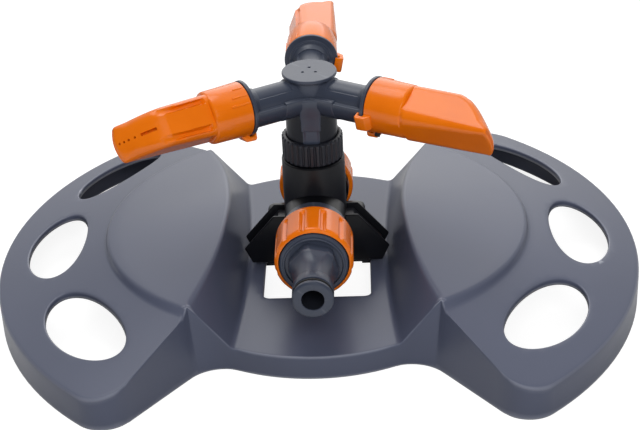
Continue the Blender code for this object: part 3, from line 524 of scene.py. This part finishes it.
def holeRing(side, hole, grow):
    middle, ringR, halfR = hole
    points = []
    for k in range(96):
        turn = 2 * pi * k / 96
        r = ringR + (halfR + grow) * cos(turn)
        angle = radians(middle) + (radians(base["holeHalfAngle"]) + grow / ringR) * sin(turn)
        points.append((side * r * cos(angle), r * sin(angle)))
    return points


def insideHole(side, hole, grow):
    middle, ringR, halfR = hole

    def test(co):
        out = (hypot(co.x, co.y) - ringR) / (halfR + grow)
        away = atan2(co.y, side * co.x) - radians(middle)
        return out ** 2 + (away / (radians(base["holeHalfAngle"]) + grow / ringR)) ** 2 < 1
    return test


def windowRing(grow):
    (halfX, halfY), corner = base["window"], base["windowCorner"]
    points = []
    for sx, sy, start in quarters:
        centre = (sx * (halfX - corner), sy * (halfY - corner))
        points += [tuple(p) for p in arcPoints(centre, corner + grow, start, start + pi / 2, 8)]
    return points


def insideWindow(co):
    grow = base["windowRound"] + base["windowClear"]
    return abs(co.x) < base["window"][0] + grow and abs(co.y) < base["window"][1] + grow


def faceUp(bm):
    faceOut(bm)
    if sum(f.normal.z for f in bm.faces) < 0:
        bmesh.ops.reverse_faces(bm, faces=bm.faces)


def addSkirt(bm):
    # the top's edge is drawn in, rounds over, and falls to the ground
    edges = [e for e in bm.edges if len(e.link_faces) == 1]
    inner, top, down, ground = {}, {}, {}, {}
    for v in {v for e in edges for v in e.verts}:
        inward = [e.other_vert(v).co - v.co for e in v.link_edges if len(e.link_faces) > 1]
        way = sum((d.normalized() for d in inward), Vector())
        reach = min([base["edgeRound"]] + [0.45 * d.length for d in inward])
        inner[v] = v.co + (way.normalized() * reach if way.length > 1e-6 else Vector())
        top[v] = v.co.copy()
        ground[v] = groundBelow(top[v])
        fall = ground[v] - top[v]
        down[v] = top[v] + fall.normalized() * min(base["edgeRound"], 0.3 * fall.length)
    for v in top:
        v.co = inner[v]
    keys = {v: v for v in top}
    for k in range(1, 5):
        edges, keys = growRing(bm, edges, keys, lambda v: bend(inner[v], top[v], down[v], k / 4))
    foot = Vector((0, 0, base["footHeight"]))
    for k in range(1, 6):
        edges, keys = growRing(bm, edges, keys, lambda v: down[v].lerp(ground[v] + foot, k / 5))
    growRing(bm, edges, keys, lambda v: ground[v])


def buildBase():
    bm = loft([baseRow(k) for k in range(2 * len(rimStops) - 1)], closed=False)
    bmesh.ops.remove_doubles(bm, verts=bm.verts, dist=0.02)
    faceUp(bm)
    addSkirt(bm)
    grow = base["holeRound"]
    turns = [pi / 2 * k / 4 for k in range(1, 5)]
    levels = [(grow * (1 - sin(t)), grow * (1 - cos(t))) for t in turns]
    levels += [(0.0, depth) for depth in base["holeWall"]]
    for side in (-1, 1):
        for hole in base["holes"]:
            cutOpening(bm, insideHole(side, hole, grow + base["holeClear"]),
                       lambda out: holeRing(side, hole, out), wingHeight, grow, levels)
    cutOpening(bm, insideWindow, windowRing, lambda x, y: base["deckZ"], base["windowRound"],
               base["windowLevels"])
    faceUp(bm)
    bmesh.ops.scale(bm, vec=(base["trim"], base["trim"], 1.0), verts=bm.verts)
    piece = makePiece("base_shell", bm, "stand", slatePolypropylene, "base", 50,
                      keepFacing=True)
    wall = piece.modifiers.new("wall", "SOLIDIFY")
    wall.thickness = base["wall"] * mm
    wall.offset = -1.0


buildBase()
print("base made")


# Tee: pipe along Y, riser, and the saddle that clips it to the deck

pipeZ = 36.7
upright = rotation(90, "X")
alongPipe = Matrix.Translation((0, 0, pipeZ)) @ upright
alongPipeBack = Matrix.Translation((0, 0, pipeZ)) @ rotation(-90, "X")
tee = {
    "pipe": [(8.6, 34.5), (12.1, 34.5), (13.2, 33.4), (13.2, -14.0), (14.5, -14.6, 0.5), (14.5, -16.5, 0.7),
             (13.2, -16.5), (13.2, -24.9), (12.1, -26.0), (8.6, -26.0)],
    "riser": [(9.5, 67.2), (11.8, 67.2, 0.5), (11.8, 62.5), (13.6, 62.5, 0.8), (13.6, 34.7), (9.5, 34.7)],
    # saddle: two ribs between these distances from its middle, and the thinner core between them
    "saddle": [(18.5, 35.5), (32.0, 19.5), (28.8, 12.4), (-28.8, 12.4), (-32.0, 19.5), (-18.5, 35.5)],
    "core": [(16.6, 33.0), (28.9, 18.6), (27.9, 12.6), (-27.9, 12.6), (-28.9, 18.6), (-16.6, 33.0)],
    "ribY": (4.7, 6.0), "ribRound": 0.45, "coreY": 4.8,
    # plate on the deck, lug behind it, and the right clip's leg and barb, each as two corners
    "plate": ((-22.5, -5.0, 10.8), (22.5, 4.5, 15.0), 0.4),
    "lug": [(-21.8, 11.2), (21.8, 11.2), (21.8, 29.5), (20.9, 31.6), (18.8, 32.5), (-18.8, 32.5),
            (-20.9, 31.6), (-21.8, 29.5)], "lugY": (-12.5, -5.0), "lugRound": 0.6,
    "clip": (((19.6, 0.5, 6.6), (22.8, 5.7, 12.0)), ((21.8, 0.5, 6.6), (24.6, 5.7, 7.75))), "clipRound": 0.3}


def buildTee():
    bm = turned(tee["pipe"], alongPipe)
    mergeInto(bm, turned(tee["riser"]))
    near, far = tee["ribY"]
    for low, high in ((-far, -near), (near, far)):
        mergeInto(bm, slab(tee["saddle"], low, high, tee["ribRound"], upright))
    mergeInto(bm, slab(tee["core"], -tee["coreY"], tee["coreY"], 0.0, upright))
    mergeInto(bm, block(*tee["plate"]))
    mergeInto(bm, slab(tee["lug"], *tee["lugY"], tee["lugRound"], upright))
    for side in (-1, 1):
        for (inX, inY, lowZ), (outX, outY, highZ) in tee["clip"]:
            left, right = sorted((side * inX, side * outX))
            mergeInto(bm, block((left, inY, lowZ), (right, outY, highZ), tee["clipRound"]))
    makePiece("tee_and_saddle", bm, "stand", blackNylon, "tee_body")


buildTee()
print("tee made")


# Hose connector with its flatted bell, and the cap on the other spout

hose = {
    "nose": [(4.6, 76.0, 0.4), (7.6, 76.0, 0.25), (8.5, 75.4, 0.25), (8.5, 74.0, 0.15), (6.6, 73.8),
             (6.6, 71.6), (8.5, 71.4, 0.2), (8.5, 66.7, 0.4), (7.8, 66.1), (7.8, 64.0), (8.0, 61.0)],
    "bell": (Vector((8.0, 61.0)), Vector((8.3, 56.5)), Vector((10.6, 53.2))), "bellSteps": 8,
    "nut": [(10.6, 52.2), (10.6, 50.6), (10.6, 48.7)],
    "shell": [(11.9, 48.7), (12.1, 49.8, 0.3), (12.9, 49.8, 0.3), (13.0, 49.2), (13.7, 49.3, 0.3),
              (14.3, 48.6), (14.3, 21.0, 0.4), (13.5, 21.0), (13.5, 37.1), (4.6, 37.1)],
    # six flats on the bell: turn, how flat, between which radii and heights, and where they begin to fade
    "flatTurn": 106, "flatShare": 0.6, "flatR": (7.9, 10.7), "flatZ": (48.69, 58.6), "flatFootZ": 52.2,
    "boreR": 4.65, "boreEndY": -75.4, "oRing": (7.75, 0.75, 72.7)}
capProfile = [(0.0, 33.6), (11.3, 33.6, 0.2), (11.9, 34.2, 0.2), (13.5, 34.2, 0.4), (14.3, 33.4),
              (14.3, 17.3), (13.5, 17.3), (13.5, 28.6), (0.0, 28.6)]


def buildConnector():
    steps = hose["bellSteps"]
    bell = [tuple(bend(*hose["bell"], k / steps)) for k in range(1, steps + 1)]
    bm = turned(hose["nose"] + bell + hose["nut"] + hose["shell"], None, 144)
    # the flats fade into the bell's neck
    narrow = 1 - hose["flatShare"] * (1 - cos(radians(30)))
    turns = [radians(hose["flatTurn"] + 30 + 60 * k) for k in range(6)]
    (inR, outR), (lowZ, highZ), footZ = hose["flatR"], hose["flatZ"], hose["flatFootZ"]
    for v in bm.verts:
        radius = hypot(v.co.x, v.co.y)
        if lowZ < v.co.z < highZ and inR < radius < outR:
            flat = radius * (narrow + (1 - narrow) * clamp((v.co.z - footZ) / (highZ - footZ)))
            for turn in turns:
                out = Vector((cos(turn), sin(turn), 0))
                v.co -= out * max(0.0, v.co.dot(out) - flat)
    piece = makePiece("hose_connector_body", placed(bm, alongPipe), "inlet", darkGreyAbs,
                      "hose_connector", 40)
    # painted shade: the bore gets a darker colour where it lies in shade
    addSecond(piece, paintedShadeAbs, lambda co: (hypot(co.x, co.z - pipeZ) < hose["boreR"]
                                              and co.y > hose["boreEndY"]))


buildConnector()
makePiece("outlet_cap_body", turned(capProfile, alongPipeBack), "outlet", darkGreyAbs,
          "outlet_cap")

grip = {
    "front": (28.0, 48.0), "back": (18.5, 33.0), "r": 16.5, "inner": 14.8, "pads": 12, "perPad": 24,
    # ends of the profile as (less than the radius, from the end, rounding), margins of the straight part
    "outerEnd": ((1.5, 0.1, 0.3), (0.5, 0.7), (0.15, 1.3)), "innerEnd": ((0.2, 0.5), (0.7, 0.0, 0.2)),
    "straight": (1.0, 2.0), "grooveHalf": 1.15, "grooveDepth": 1.0, "grooveEnds": (3.2, 0.5), "grooveFade": 1.1,
    "phase": 15.0}


def buildGripRing(name, span, place, turnBy, body, node):
    (low, high), r, inner, fadeZ = span, grip["r"], grip["inner"], grip["grooveFade"]
    start, end = low + grip["straight"][0], high - grip["straight"][1]
    count = round((end - start) / 0.5)
    profile = [(inner, high - 0.1)]
    profile += [(r - less, high - down, *rounding) for less, down, *rounding in grip["outerEnd"]]
    profile += [(r, end - (end - start) * k / count) for k in range(count + 1)]
    profile += [(r - less, low + up, *rounding) for less, up, *rounding in grip["innerEnd"]]
    bm = turned(profile + [(inner, low)], None, grip["pads"] * grip["perPad"])
    pitch = 2 * pi / grip["pads"]
    start, end = low + grip["grooveEnds"][0], high - grip["grooveEnds"][1]
    for v in bm.verts:
        radius = hypot(v.co.x, v.co.y)
        away = (atan2(v.co.y, v.co.x) - radians(grip["phase"]) + pitch / 2) % pitch - pitch / 2
        across = abs(away) * r / grip["grooveHalf"]
        fade = clamp((v.co.z - start) / fadeZ) * clamp((end - v.co.z) / fadeZ)
        floor = r - grip["grooveDepth"] * max(0.0, 1 - across ** 4) * sin(fade * pi / 2)
        if across < 1 and radius > floor:
            v.co.x *= floor / radius
            v.co.y *= floor / radius
    placed(bm, place @ rotation(turnBy, "Z"))
    makePiece(name, bm, body, orangeAbs, node, 50)


buildGripRing("inlet_ring", grip["front"], alongPipe, 0.0, "inlet", "connector_grip_ring")
buildGripRing("outlet_ring", grip["back"], alongPipeBack, 4.0, "outlet", "outlet_grip_ring")


def ringOf(major, minor, z):
    bm = bmesh.new()
    bmesh.ops.create_circle(bm, segments=16, radius=minor, matrix=Matrix.Translation((major, 0, 0)) @ upright)
    spinRound(bm, bm.verts[:] + bm.edges[:], 72)
    return placed(bm, alongPipe @ Matrix.Translation((0, 0, z)))


makePiece("tip_o_ring", ringOf(*hose["oRing"]), "inlet", blackNitrile, "connector_o_ring")
print("connector made")


# Retaining collar: a ribbed ring nut over the top of the riser

collar = {
    "r": 13.1, "holeR": 11.25, "innerR": 12.2, "low": 62.9, "plateZ": 71.5, "ribTop": 72.7, "high": 73.3,
    "ribs": 32, "perRib": 10, "ribDepth": 0.8, "ribShare": 0.35, "ribFade": 0.9, "ribStep": 0.49,
    "ribSteps": 20}


def buildCollar():
    r, low, high, plateZ = collar["r"], collar["low"], collar["high"], collar["plateZ"]
    profile = [(collar["holeR"], high, 0.15), (r - 0.9, high, 0.2), (r - 0.35, high - 0.35)]
    profile += [(r, collar["ribTop"] - k * collar["ribStep"]) for k in range(collar["ribSteps"])]
    profile += [(r - 0.3, low + 0.2), (collar["innerR"], low), (collar["innerR"], plateZ),
                (collar["holeR"], plateZ)]
    bm = turned(profile, None, collar["ribs"] * collar["perRib"])
    for v in bm.verts:
        radius = hypot(v.co.x, v.co.y)
        if radius > r - 0.4:
            wave = cos(atan2(v.co.y, v.co.x) * collar["ribs"])
            sink = max(0.0, collar["ribShare"] - wave) / (1 + collar["ribShare"])
            factor = 1 - collar["ribDepth"] * min(1.0, (high - v.co.z) / collar["ribFade"]) * sink / radius
            v.co.x *= factor
            v.co.y *= factor
    makePiece("collar_ring_nut", bm, "collar", grainedNylon, "retaining_collar", 50)


buildCollar()
print("collar made")


# Spinning head: hub, crown disc, three arms with their sleeves and flanges

armZ = 93.4
crownZ = 102.4
outAlong = rotation(90, "Y")
head = {
    # from the crown disc down: the waist at the arms, the core, its flange, the spindle and its groove
    "hub": [(0.0, crownZ), (1.8, crownZ), (4.6, crownZ), (10.9, crownZ), (11.6, crownZ, 0.45),
            (11.6, 101.0, 0.3), (9.8, 100.0), (9.8, 95.2), (10.4, 94.2, 0.4), (10.95, 93.4), (10.95, 79.2),
            (10.95, 78.9), (10.95, 70.2), (11.9, 70.2), (11.9, 68.6), (9.1, 68.6), (9.1, 63.2), (7.5, 63.2),
            (7.5, 60.8), (9.1, 60.8), (9.1, 57.8), (8.3, 57.0), (0.0, 57.0)],
    "dimpleR": (0.56, 0.84), "dimpleAt": 3.1, "coreZ": (69.0, 92.0), "coreR": (10.88, 10.96),
    "flatR": 10.4, "flatZ": (70.19, 79.0), "flatBelowR": 11.0,
    # arms: their section, the sunk panel (from, to, turn of its edge) and the socket at the hub
    "armAngles": (210.0, -30.0, 90.0), "barX": (3.0, 30.3), "topR": 7.3, "lowR": 9.4, "ledgeZ": 0.7,
    "panel": (10.8, 27.4, 39), "panelSunk": 0.6, "panelRim": 0.5, "socket": (3.0, 16.3), "socketR": 9.6,
    "socketTop": 1.5,
    "flare": [(0.0, 30.4), (9.9, 30.4), (8.8, 29.7), (8.0, 28.7), (7.5, 27.4), (7.2, 26.4), (0.0, 26.4)],
    "flange": [(5.6, 47.5), (8.0, 47.5), (8.6, 46.9), (8.6, 31.8), (11.68, 31.8, 0.35), (11.68, 30.2, 0.35),
               (9.0, 30.2), (9.0, 29.0), (5.6, 29.0)],
    # gussets between the arms, each level as (height, reach, half width)
    "gusset": [(94.3, 12.75, 3.4), (93.6, 12.9, 3.7), (90.5, 12.4, 4.1), (87.0, 11.7, 4.4),
               (83.5, 11.05, 4.2), (79.0, 11.0, 4.1)], "gussetInR": 5.0}


def armFrame(index, turn=0.0):
    # local X out along the arm; a turn lifts local Y about the arm
    return (Matrix.Translation((0, 0, armZ)) @ rotation(head["armAngles"][index], "Z")
            @ rotation(turn, "X"))


def armSection(x):
    topR, lowR, panelTurn = head["topR"], head["lowR"], radians(head["panel"][2])
    topTurn, lowTurn = asin(head["ledgeZ"] / topR), asin(head["ledgeZ"] / lowR)
    section = arcPoints((0, 0), topR, topTurn, panelTurn, 5)
    section += arcPoints((0, 0), topR, panelTurn, pi - panelTurn, 18)[1:]
    section += arcPoints((0, 0), topR, pi - panelTurn, pi - topTurn, 5)[1:]
    section += arcPoints((0, 0), lowR, pi - lowTurn, 2 * pi + lowTurn, 28)
    return [Vector((x, p.x, p.y)) for p in section]


def armBar():
    start, end, turn = head["panel"]
    bar = loft([armSection(x) for x in (head["barX"][0], start, end, head["barX"][1])])
    bevelEdges(bar, [e for e in sharpEdges(bar, 40) if abs(e.verts[0].co.x - e.verts[1].co.x) > 1], 0.35)
    # the top half is sunk between its ends
    sunk = []
    for f in bar.faces:
        middle = f.calc_center_median()
        if start < middle.x < end and degrees(atan2(middle.z, abs(middle.y))) > turn:
            sunk.append(f)
    bmesh.ops.inset_region(bar, faces=sunk, thickness=head["panelRim"], depth=-head["panelSunk"],
                           use_even_offset=True)
    return bar


def armSocket():
    turn = asin(head["socketTop"] / head["socketR"])
    around = arcPoints((0, 0), head["socketR"], pi - turn, 2 * pi + turn, 36)
    socket = loft([[Vector((x, p.x, p.y)) for p in around] for x in head["socket"]])
    bevelEdges(socket, sharpEdges(socket, 40), 0.4)
    return socket


def armGusset():
    # fills the corner between two arms and runs down the hub
    inR = head["gussetInR"]
    rings = []
    for z, outR, half in head["gusset"]:
        rings.append([Vector((x, y, z)) for x, y in ((inR, -half), (outR, -half), (outR, half), (inR, half))])
    gusset = loft(rings)
    bevelEdges(gusset, [e for e in sharpEdges(gusset, 30) if all(v.co.x > inR + 1 for v in e.verts)], 0.4)
    return gusset


def buildHead():
    bm = turned(head["hub"])
    # a shallow flat below each gusset, where the collar rises when it is undone
    low, high = head["flatZ"]
    core = [v for v in bm.verts if low < v.co.z < high and hypot(v.co.x, v.co.y) < head["flatBelowR"]]
    dimples = bmesh.new()
    for angle in head["armAngles"]:
        out = rotation(angle + 60, "Z") @ Vector((1, 0, 0))
        for v in core:
            v.co -= out * max(0.0, v.co.dot(out) - head["flatR"])
        spot = rotation(angle, "Z") @ Matrix.Translation((head["dimpleAt"], 0, crownZ))
        bmesh.ops.create_cone(dimples, cap_ends=True, segments=24, radius1=head["dimpleR"][0],
                              radius2=head["dimpleR"][1], depth=2.0, matrix=spot)
    bm = carve(bm, dimples)
    for index, angle in enumerate(head["armAngles"]):
        mergeInto(bm, armBar(), armFrame(index))
        mergeInto(bm, armSocket(), armFrame(index))
        mergeInto(bm, turned(head["flare"]), armFrame(index) @ outAlong)
        mergeInto(bm, turned(head["flange"]), armFrame(index) @ outAlong)
        mergeInto(bm, armGusset(), rotation(angle + 60, "Z"))
    piece = makePiece("spinning_head", bm, "spinner", darkGreyAbs, "head", 32)
    # painted shade: the hub's round sides between the collar and the arms get a darker colour, since they face
    # away from the light above
    (low, high), (inR, outR) = head["coreZ"], head["coreR"]
    addSecond(piece, paintedShadeAbs, lambda co: low < co.z < high and inR < hypot(co.x, co.y) < outR)


buildHead()
print("head made")


# Nozzles: a snap-on sleeve and a slanted body that ends in a slot and four small jets

nozzle = {
    # X runs out along the arm, Y towards the spray; reach at the shoulder and the tip, in front at the bend
    "turns": (38.3, 24.5, 21.4), "shoulderX": 49.0, "bendX": 68.3, "tipX": 87.6, "fall": 1.55,
    "side": (8.9, 7.8), "front": (9.0, 9.9), "back": (10.55, 7.9), "tipThick": 2.8, "frontRound": 4.2,
    "backRounds": (5.6, 2.0), "tipRound": 0.9, "bow": 2.0, "bowHalf": 8.0, "bowX": 73.0,
    # stops within the sleeve, along the body and back from the tip, and steps on the four sides
    "sleeveStops": (33.0, 38.0, 43.2), "stopStep": 0.5, "tipStops": (0.55, 0.3, 0.12, 0.01),
    "sideSteps": (14, 8, 14, 50),
    "grooveZ": 5.6, "grooveHalf": 1.2, "grooveDepth": 2.0, "grooveX": (50.2, 73.0), "grooveFade": (0.9, 9.0),
    "boreX": (30.0, 48.8), "boreR": 8.95, "slot": (72.5, 79.8, 0.62), "jets": (81.0, 83.1, 84.7, 86.2),
    "jetR": 0.5, "cutDepth": 3.0,
    # sleeve, its ribs (turn, end) with (start, half width, how proud), and its hooks
    "sleeveX": 32.1, "sleeveR": 11.55, "shoulderR": 11.1,
    "ribs": ((-3.0, 41.0), (15.0, 39.5), (36.0, 37.5)), "rib": (32.4, 0.4, 0.15),
    "hookX": (28.9, 29.9, 32.1, 35.4), "hookR": (10.2, 12.0, 13.9), "hookWidth": 6.6,
    "hookAngles": (170.0, -115.0), "pinAngle": -144.5, "pinX": 35.6, "pinR": 1.2, "pinEnds": (7.6, 12.9)}


def mixed(pair, share):
    return pair[0] + (pair[1] - pair[0]) * share


def nozzleShare(x, startX, endX):
    return (x - nozzle[startX]) / (nozzle[endX] - nozzle[startX])


def nozzleReach(x):
    share = nozzleShare(x, "shoulderX", "tipX")
    side, back = mixed(nozzle["side"], share), mixed(nozzle["back"], share)
    front = mixed(nozzle["front"], min(1.0, nozzleShare(x, "shoulderX", "bendX")))
    if x > nozzle["bendX"]:
        front -= (front + back - nozzle["tipThick"]) * nozzleShare(x, "bendX", "tipX") ** nozzle["fall"]
    # the last stretch rounds over into the tip
    past = max(0.0, 1 - (nozzle["tipX"] - x) / nozzle["tipRound"])
    trim = nozzle["tipRound"] * (1 - sqrt(1 - past * past))
    return front - trim, back - trim, side - trim


def nozzleRing(x):
    # rounded box around the nozzle at x, close-set along the front face for the grooves
    front, back, side = nozzleReach(x)
    most = min((front + back) / 2, side) - 0.1
    frontRound = min(nozzle["frontRound"], most)
    backRound = min(mixed(nozzle["backRounds"], max(0.0, nozzleShare(x, "shoulderX", "tipX"))), most)
    corners = []
    for sy, sz, start in quarters:
        r = frontRound if sy > 0 else backRound
        centre = (front - r if sy > 0 else -back + r, sz * (side - r))
        corners.append([Vector((x, p.x, p.y)) for p in arcPoints(centre, r, start, start + pi / 2, 10)])
    ring = []
    for k, steps in enumerate(nozzle["sideSteps"]):
        a, b = corners[k][-1], corners[(k + 1) % 4][0]
        ring += corners[k] + [a.lerp(b, j / steps) for j in range(1, steps)]
    # the end of the nozzle bows outwards, and what is within the sleeve stays inside it
    share = clamp(nozzleShare(x, "bowX", "tipX"))
    for point in ring:
        point.x = x - nozzle["bow"] * (point.z / nozzle["bowHalf"]) ** 2 * share * share * (3 - 2 * share)
        if x < nozzle["shoulderX"]:
            shrink = min(1.0, (nozzle["shoulderR"] - 0.3) / hypot(point.y, point.z))
            point.y *= shrink
            point.z *= shrink
    return ring


def grooved(point):
    # presses the two long grooves into the front face
    (start, end), (fadeIn, fadeOut) = nozzle["grooveX"], nozzle["grooveFade"]
    x, y, z = point
    across = (abs(z) - nozzle["grooveZ"]) / nozzle["grooveHalf"]
    if y < 3 or abs(across) >= 1:
        return point
    lengthwise = clamp((x - start) / fadeIn) * clamp((end - x) / fadeOut)
    return Vector((x, y - nozzle["grooveDepth"] * lengthwise * (1 - across ** 6), z))


def onFront(x):
    # the middle of the front face at x, with Y out of the face
    front = nozzleReach(x)[0]
    lean = atan((nozzleReach(x + 0.1)[0] - front) / 0.1)
    return Matrix.Translation((x, front, 0)) @ Matrix.Rotation(lean, 4, "Z")


def nozzleCutter():
    # bore, slot and jets
    (start, end), r, depth = nozzle["boreX"], nozzle["boreR"], nozzle["cutDepth"]
    cutter = turned([(0.0, start), (r, start), (r, end), (0.0, end)], outAlong, 64)
    start, end, half = nozzle["slot"]
    reach = (end - start) / 2
    mergeInto(cutter, block((-reach, -depth, -half), (reach, depth, half), 0.2), onFront((start + end) / 2))
    for x in nozzle["jets"]:
        bmesh.ops.create_cone(cutter, cap_ends=True, segments=20, radius1=nozzle["jetR"],
                              radius2=nozzle["jetR"], depth=2 * depth, matrix=onFront(x) @ upright)
    return cutter


def nozzleBody():
    shoulder, tip, step = nozzle["shoulderX"], nozzle["tipX"], nozzle["stopStep"]
    start, end = shoulder + 1.4, tip - 0.8
    stops = [*nozzle["sleeveStops"], shoulder - 0.1, shoulder + 1.0]
    stops += [start + step * k for k in range(ceil((end - start) / step))]
    stops += [tip - back for back in nozzle["tipStops"]]
    return carve(loft([[grooved(p) for p in nozzleRing(x)] for x in stops]), nozzleCutter())


def nozzleSleeve():
    r, start, end, bore = nozzle["sleeveR"], nozzle["sleeveX"], nozzle["shoulderX"], nozzle["boreR"]
    sleeve = turned([(bore, end), (nozzle["shoulderR"], end, 1.3), (r - 0.35, end - 6), (r, start, 0.5),
                     (bore, start)], outAlong)
    for v in sleeve.verts:
        v.co.y = max(v.co.y, 0.05 - nozzleReach(v.co.x)[1])
    # three fine ribs from its open end
    start, half, proud = nozzle["rib"]
    for turn, end in nozzle["ribs"]:
        rib = block((start, r - 1.2, -half), (end, r + proud, half), 0.2)
        mergeInto(sleeve, rib, rotation(turn, "X"))
    return sleeve


def nozzleHook():
    start, back, root, end = nozzle["hookX"]
    lip, low, high = nozzle["hookR"]
    r, half = nozzle["sleeveR"], nozzle["hookWidth"] / 2
    side = [(start, lip), (back, lip), (back, low), (root, low), (root, r - 1.0), (end, r - 1.0),
            (end, r + 0.2), (end - 1.6, high - 0.2), (start + 0.8, high), (start, high - 0.7)]
    return slab(side, -half, half, 0.35)


def buildNozzle(index):
    turn, number = nozzle["turns"][index], index + 1
    bm = nozzleBody()
    mergeInto(bm, nozzleSleeve())
    for hookTurn in nozzle["hookAngles"]:
        mergeInto(bm, nozzleHook(), rotation(hookTurn, "X"))
    makePiece(f"spray_nozzle_shell_{number}", placed(bm, armFrame(index, turn)), f"spray_nozzle_{number}",
              orangeAbs, f"nozzle_{number}", 38)
    r, (low, high) = nozzle["pinR"], nozzle["pinEnds"]
    place = (armFrame(index, turn + nozzle["pinAngle"]) @ Matrix.Translation((nozzle["pinX"], 0, 0))
             @ rotation(-90, "X"))
    pin = turned([(0.0, high), (r, high, 0.35), (r, low), (0.0, low)], place, 32)
    makePiece(f"nozzle_stop_pin_{number}", pin, f"spray_nozzle_{number}", blackNitrile,
              f"nozzle_pin_{number}")


for index in range(3):
    buildNozzle(index)
print("nozzles made")

# hidden seals and rings keep their solids
for name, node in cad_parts.items():
    if node.hide_render:
        continue
    material = paleAcetal if name in ("thrust_washer", "slip_ring") else blackNitrile
    if node.material_slots:
        node.material_slots[0].material = material
    else:
        node.data.materials.append(material)
    print("kept", name)


# Floor, light and camera

room = {
    "floorSize": 4.0, "floorDrop": 0.0002, "floorGreys": (0.3, 0.85), "floorGlow": 0.87, "floorRough": 0.9,
    "floorShine": 0.2,
    # the room as it lights and as it is mirrored: its bright side, the ramp towards it, and two strengths
    "lit": ((0.1, 0.62, 0.78), (-0.5, 0.9), (0.18, 0.55)),
    "mirrored": ((0.05, 0.77, 0.63), (0.3, 0.85), (0.03, 1.0)),
    # lamps: place, size, watts, and whether the plastics mirror it; all point at one spot
    "lamps": (("back", (0.05, 1.15, 0.72), 1.2, 4.4, True), ("top", (-0.3, 0.3, 1.2), 0.8, 3.8, True),
              ("front", (0.15, -1.05, 0.75), 1.0, 10.5, False)), "lampsAim": (0, 0, 0.04)}


def grey(level):
    return (level, level, level, 1.0)


def seenDirectly(tree, seen):
    # 1 for what the camera shows, on its own or through something clear
    rays = {0: seen["Is Camera Ray"], 1: seen["Is Transmission Ray"]}
    return addNode(tree, "Math", rays, operation="MAXIMUM").outputs["Value"]


def buildFloor():
    bm = bmesh.new()
    bmesh.ops.create_grid(bm, x_segments=1, y_segments=1, size=room["floorSize"])
    bmesh.ops.translate(bm, vec=(0, 0, -room["floorDrop"]), verts=bm.verts)
    floor = newObject("floor", toMesh(bm, "floor"))
    # matt paper that reads as white, with a light shadow under the base; mirrored, it is plain white
    paper, tree, shader = shaded("whitePaper")
    seen = addNode(tree, "LightPath", {}).outputs
    glow = addNode(tree, "Math", {0: seenDirectly(tree, seen), 1: room["floorGlow"]}, operation="MULTIPLY")
    greys = [grey(level) for level in room["floorGreys"]]
    setInputs(tree, shader, {
        "Base Color": mixColour(tree, seen["Is Glossy Ray"], *greys), "Roughness": room["floorRough"],
        "Specular IOR Level": room["floorShine"], "Emission Color": grey(1.0),
        "Emission Strength": glow.outputs["Value"]})
    floor.data.materials.append(paper)


def roomLevel(tree, way, side):
    towards, span, levels = side
    lean = addNode(tree, "VectorMath", {0: way, 1: towards}, operation="DOT_PRODUCT").outputs["Value"]
    return addRamp(tree, lean, span, levels, interpolation_type="SMOOTHSTEP")


def buildLight():
    # a room that is bright above and behind the object and dim in front of it, before a white background;
    # mirrored, its bright side is as white as the background and its dim side falls off sooner
    world = bpy.data.worlds.new("softRoom")
    scene.world = world
    world.use_nodes = True
    tree = world.node_tree
    way = addNode(tree, "TexCoord", {}).outputs["Generated"]
    seen = addNode(tree, "LightPath", {}).outputs
    shown = addNode(tree, "Mix", {0: seen["Is Glossy Ray"], 2: roomLevel(tree, way, room["lit"]),
                                  3: roomLevel(tree, way, room["mirrored"])})
    strength = addNode(tree, "Mix", {0: seenDirectly(tree, seen), 2: shown.outputs[0], 3: 1.0})
    setInputs(tree, tree.nodes["Background"], {"Color": grey(1.0), "Strength": strength.outputs[0]})
    for name, spot, size, watts, mirrored in room["lamps"]:
        lamp = bpy.data.lights.new(name, "AREA")
        lamp.shape = "DISK"
        lamp.size = size
        lamp.energy = watts
        holder = newObject(name, lamp)
        holder.location = spot
        holder.visible_glossy = mirrored
        holder.rotation_euler = (Vector(room["lampsAim"]) - Vector(spot)).to_track_quat("-Z", "Y").to_euler()


buildFloor()
buildLight()

view = {"spot": (23.54, -615.91, 384.92), "way": (-0.03067, 0.86750, -0.49648), "roll": 2.67, "lens": 90.65,
        "sensor": 36.0, "clip": 0.01}
camera = bpy.data.cameras.new("photoCamera")
camera.lens = view["lens"]
camera.sensor_width = view["sensor"]
camera.clip_start = view["clip"]
forward = Vector(view["way"]).normalized()
right = forward.cross(Vector((0, 0, 1))).normalized()
up = right.cross(forward)
roll = radians(view["roll"])
right, up = right * cos(roll) - up * sin(roll), up * cos(roll) + right * sin(roll)
holder = newObject("photoCamera", camera)
holder.matrix_world = Matrix((
    (right.x, up.x, -forward.x, view["spot"][0] * mm), (right.y, up.y, -forward.y, view["spot"][1] * mm),
    (right.z, up.z, -forward.z, view["spot"][2] * mm), (0, 0, 0, 1)))
scene.camera = holder
scene.view_settings.view_transform = "Standard"
print("room and camera made")
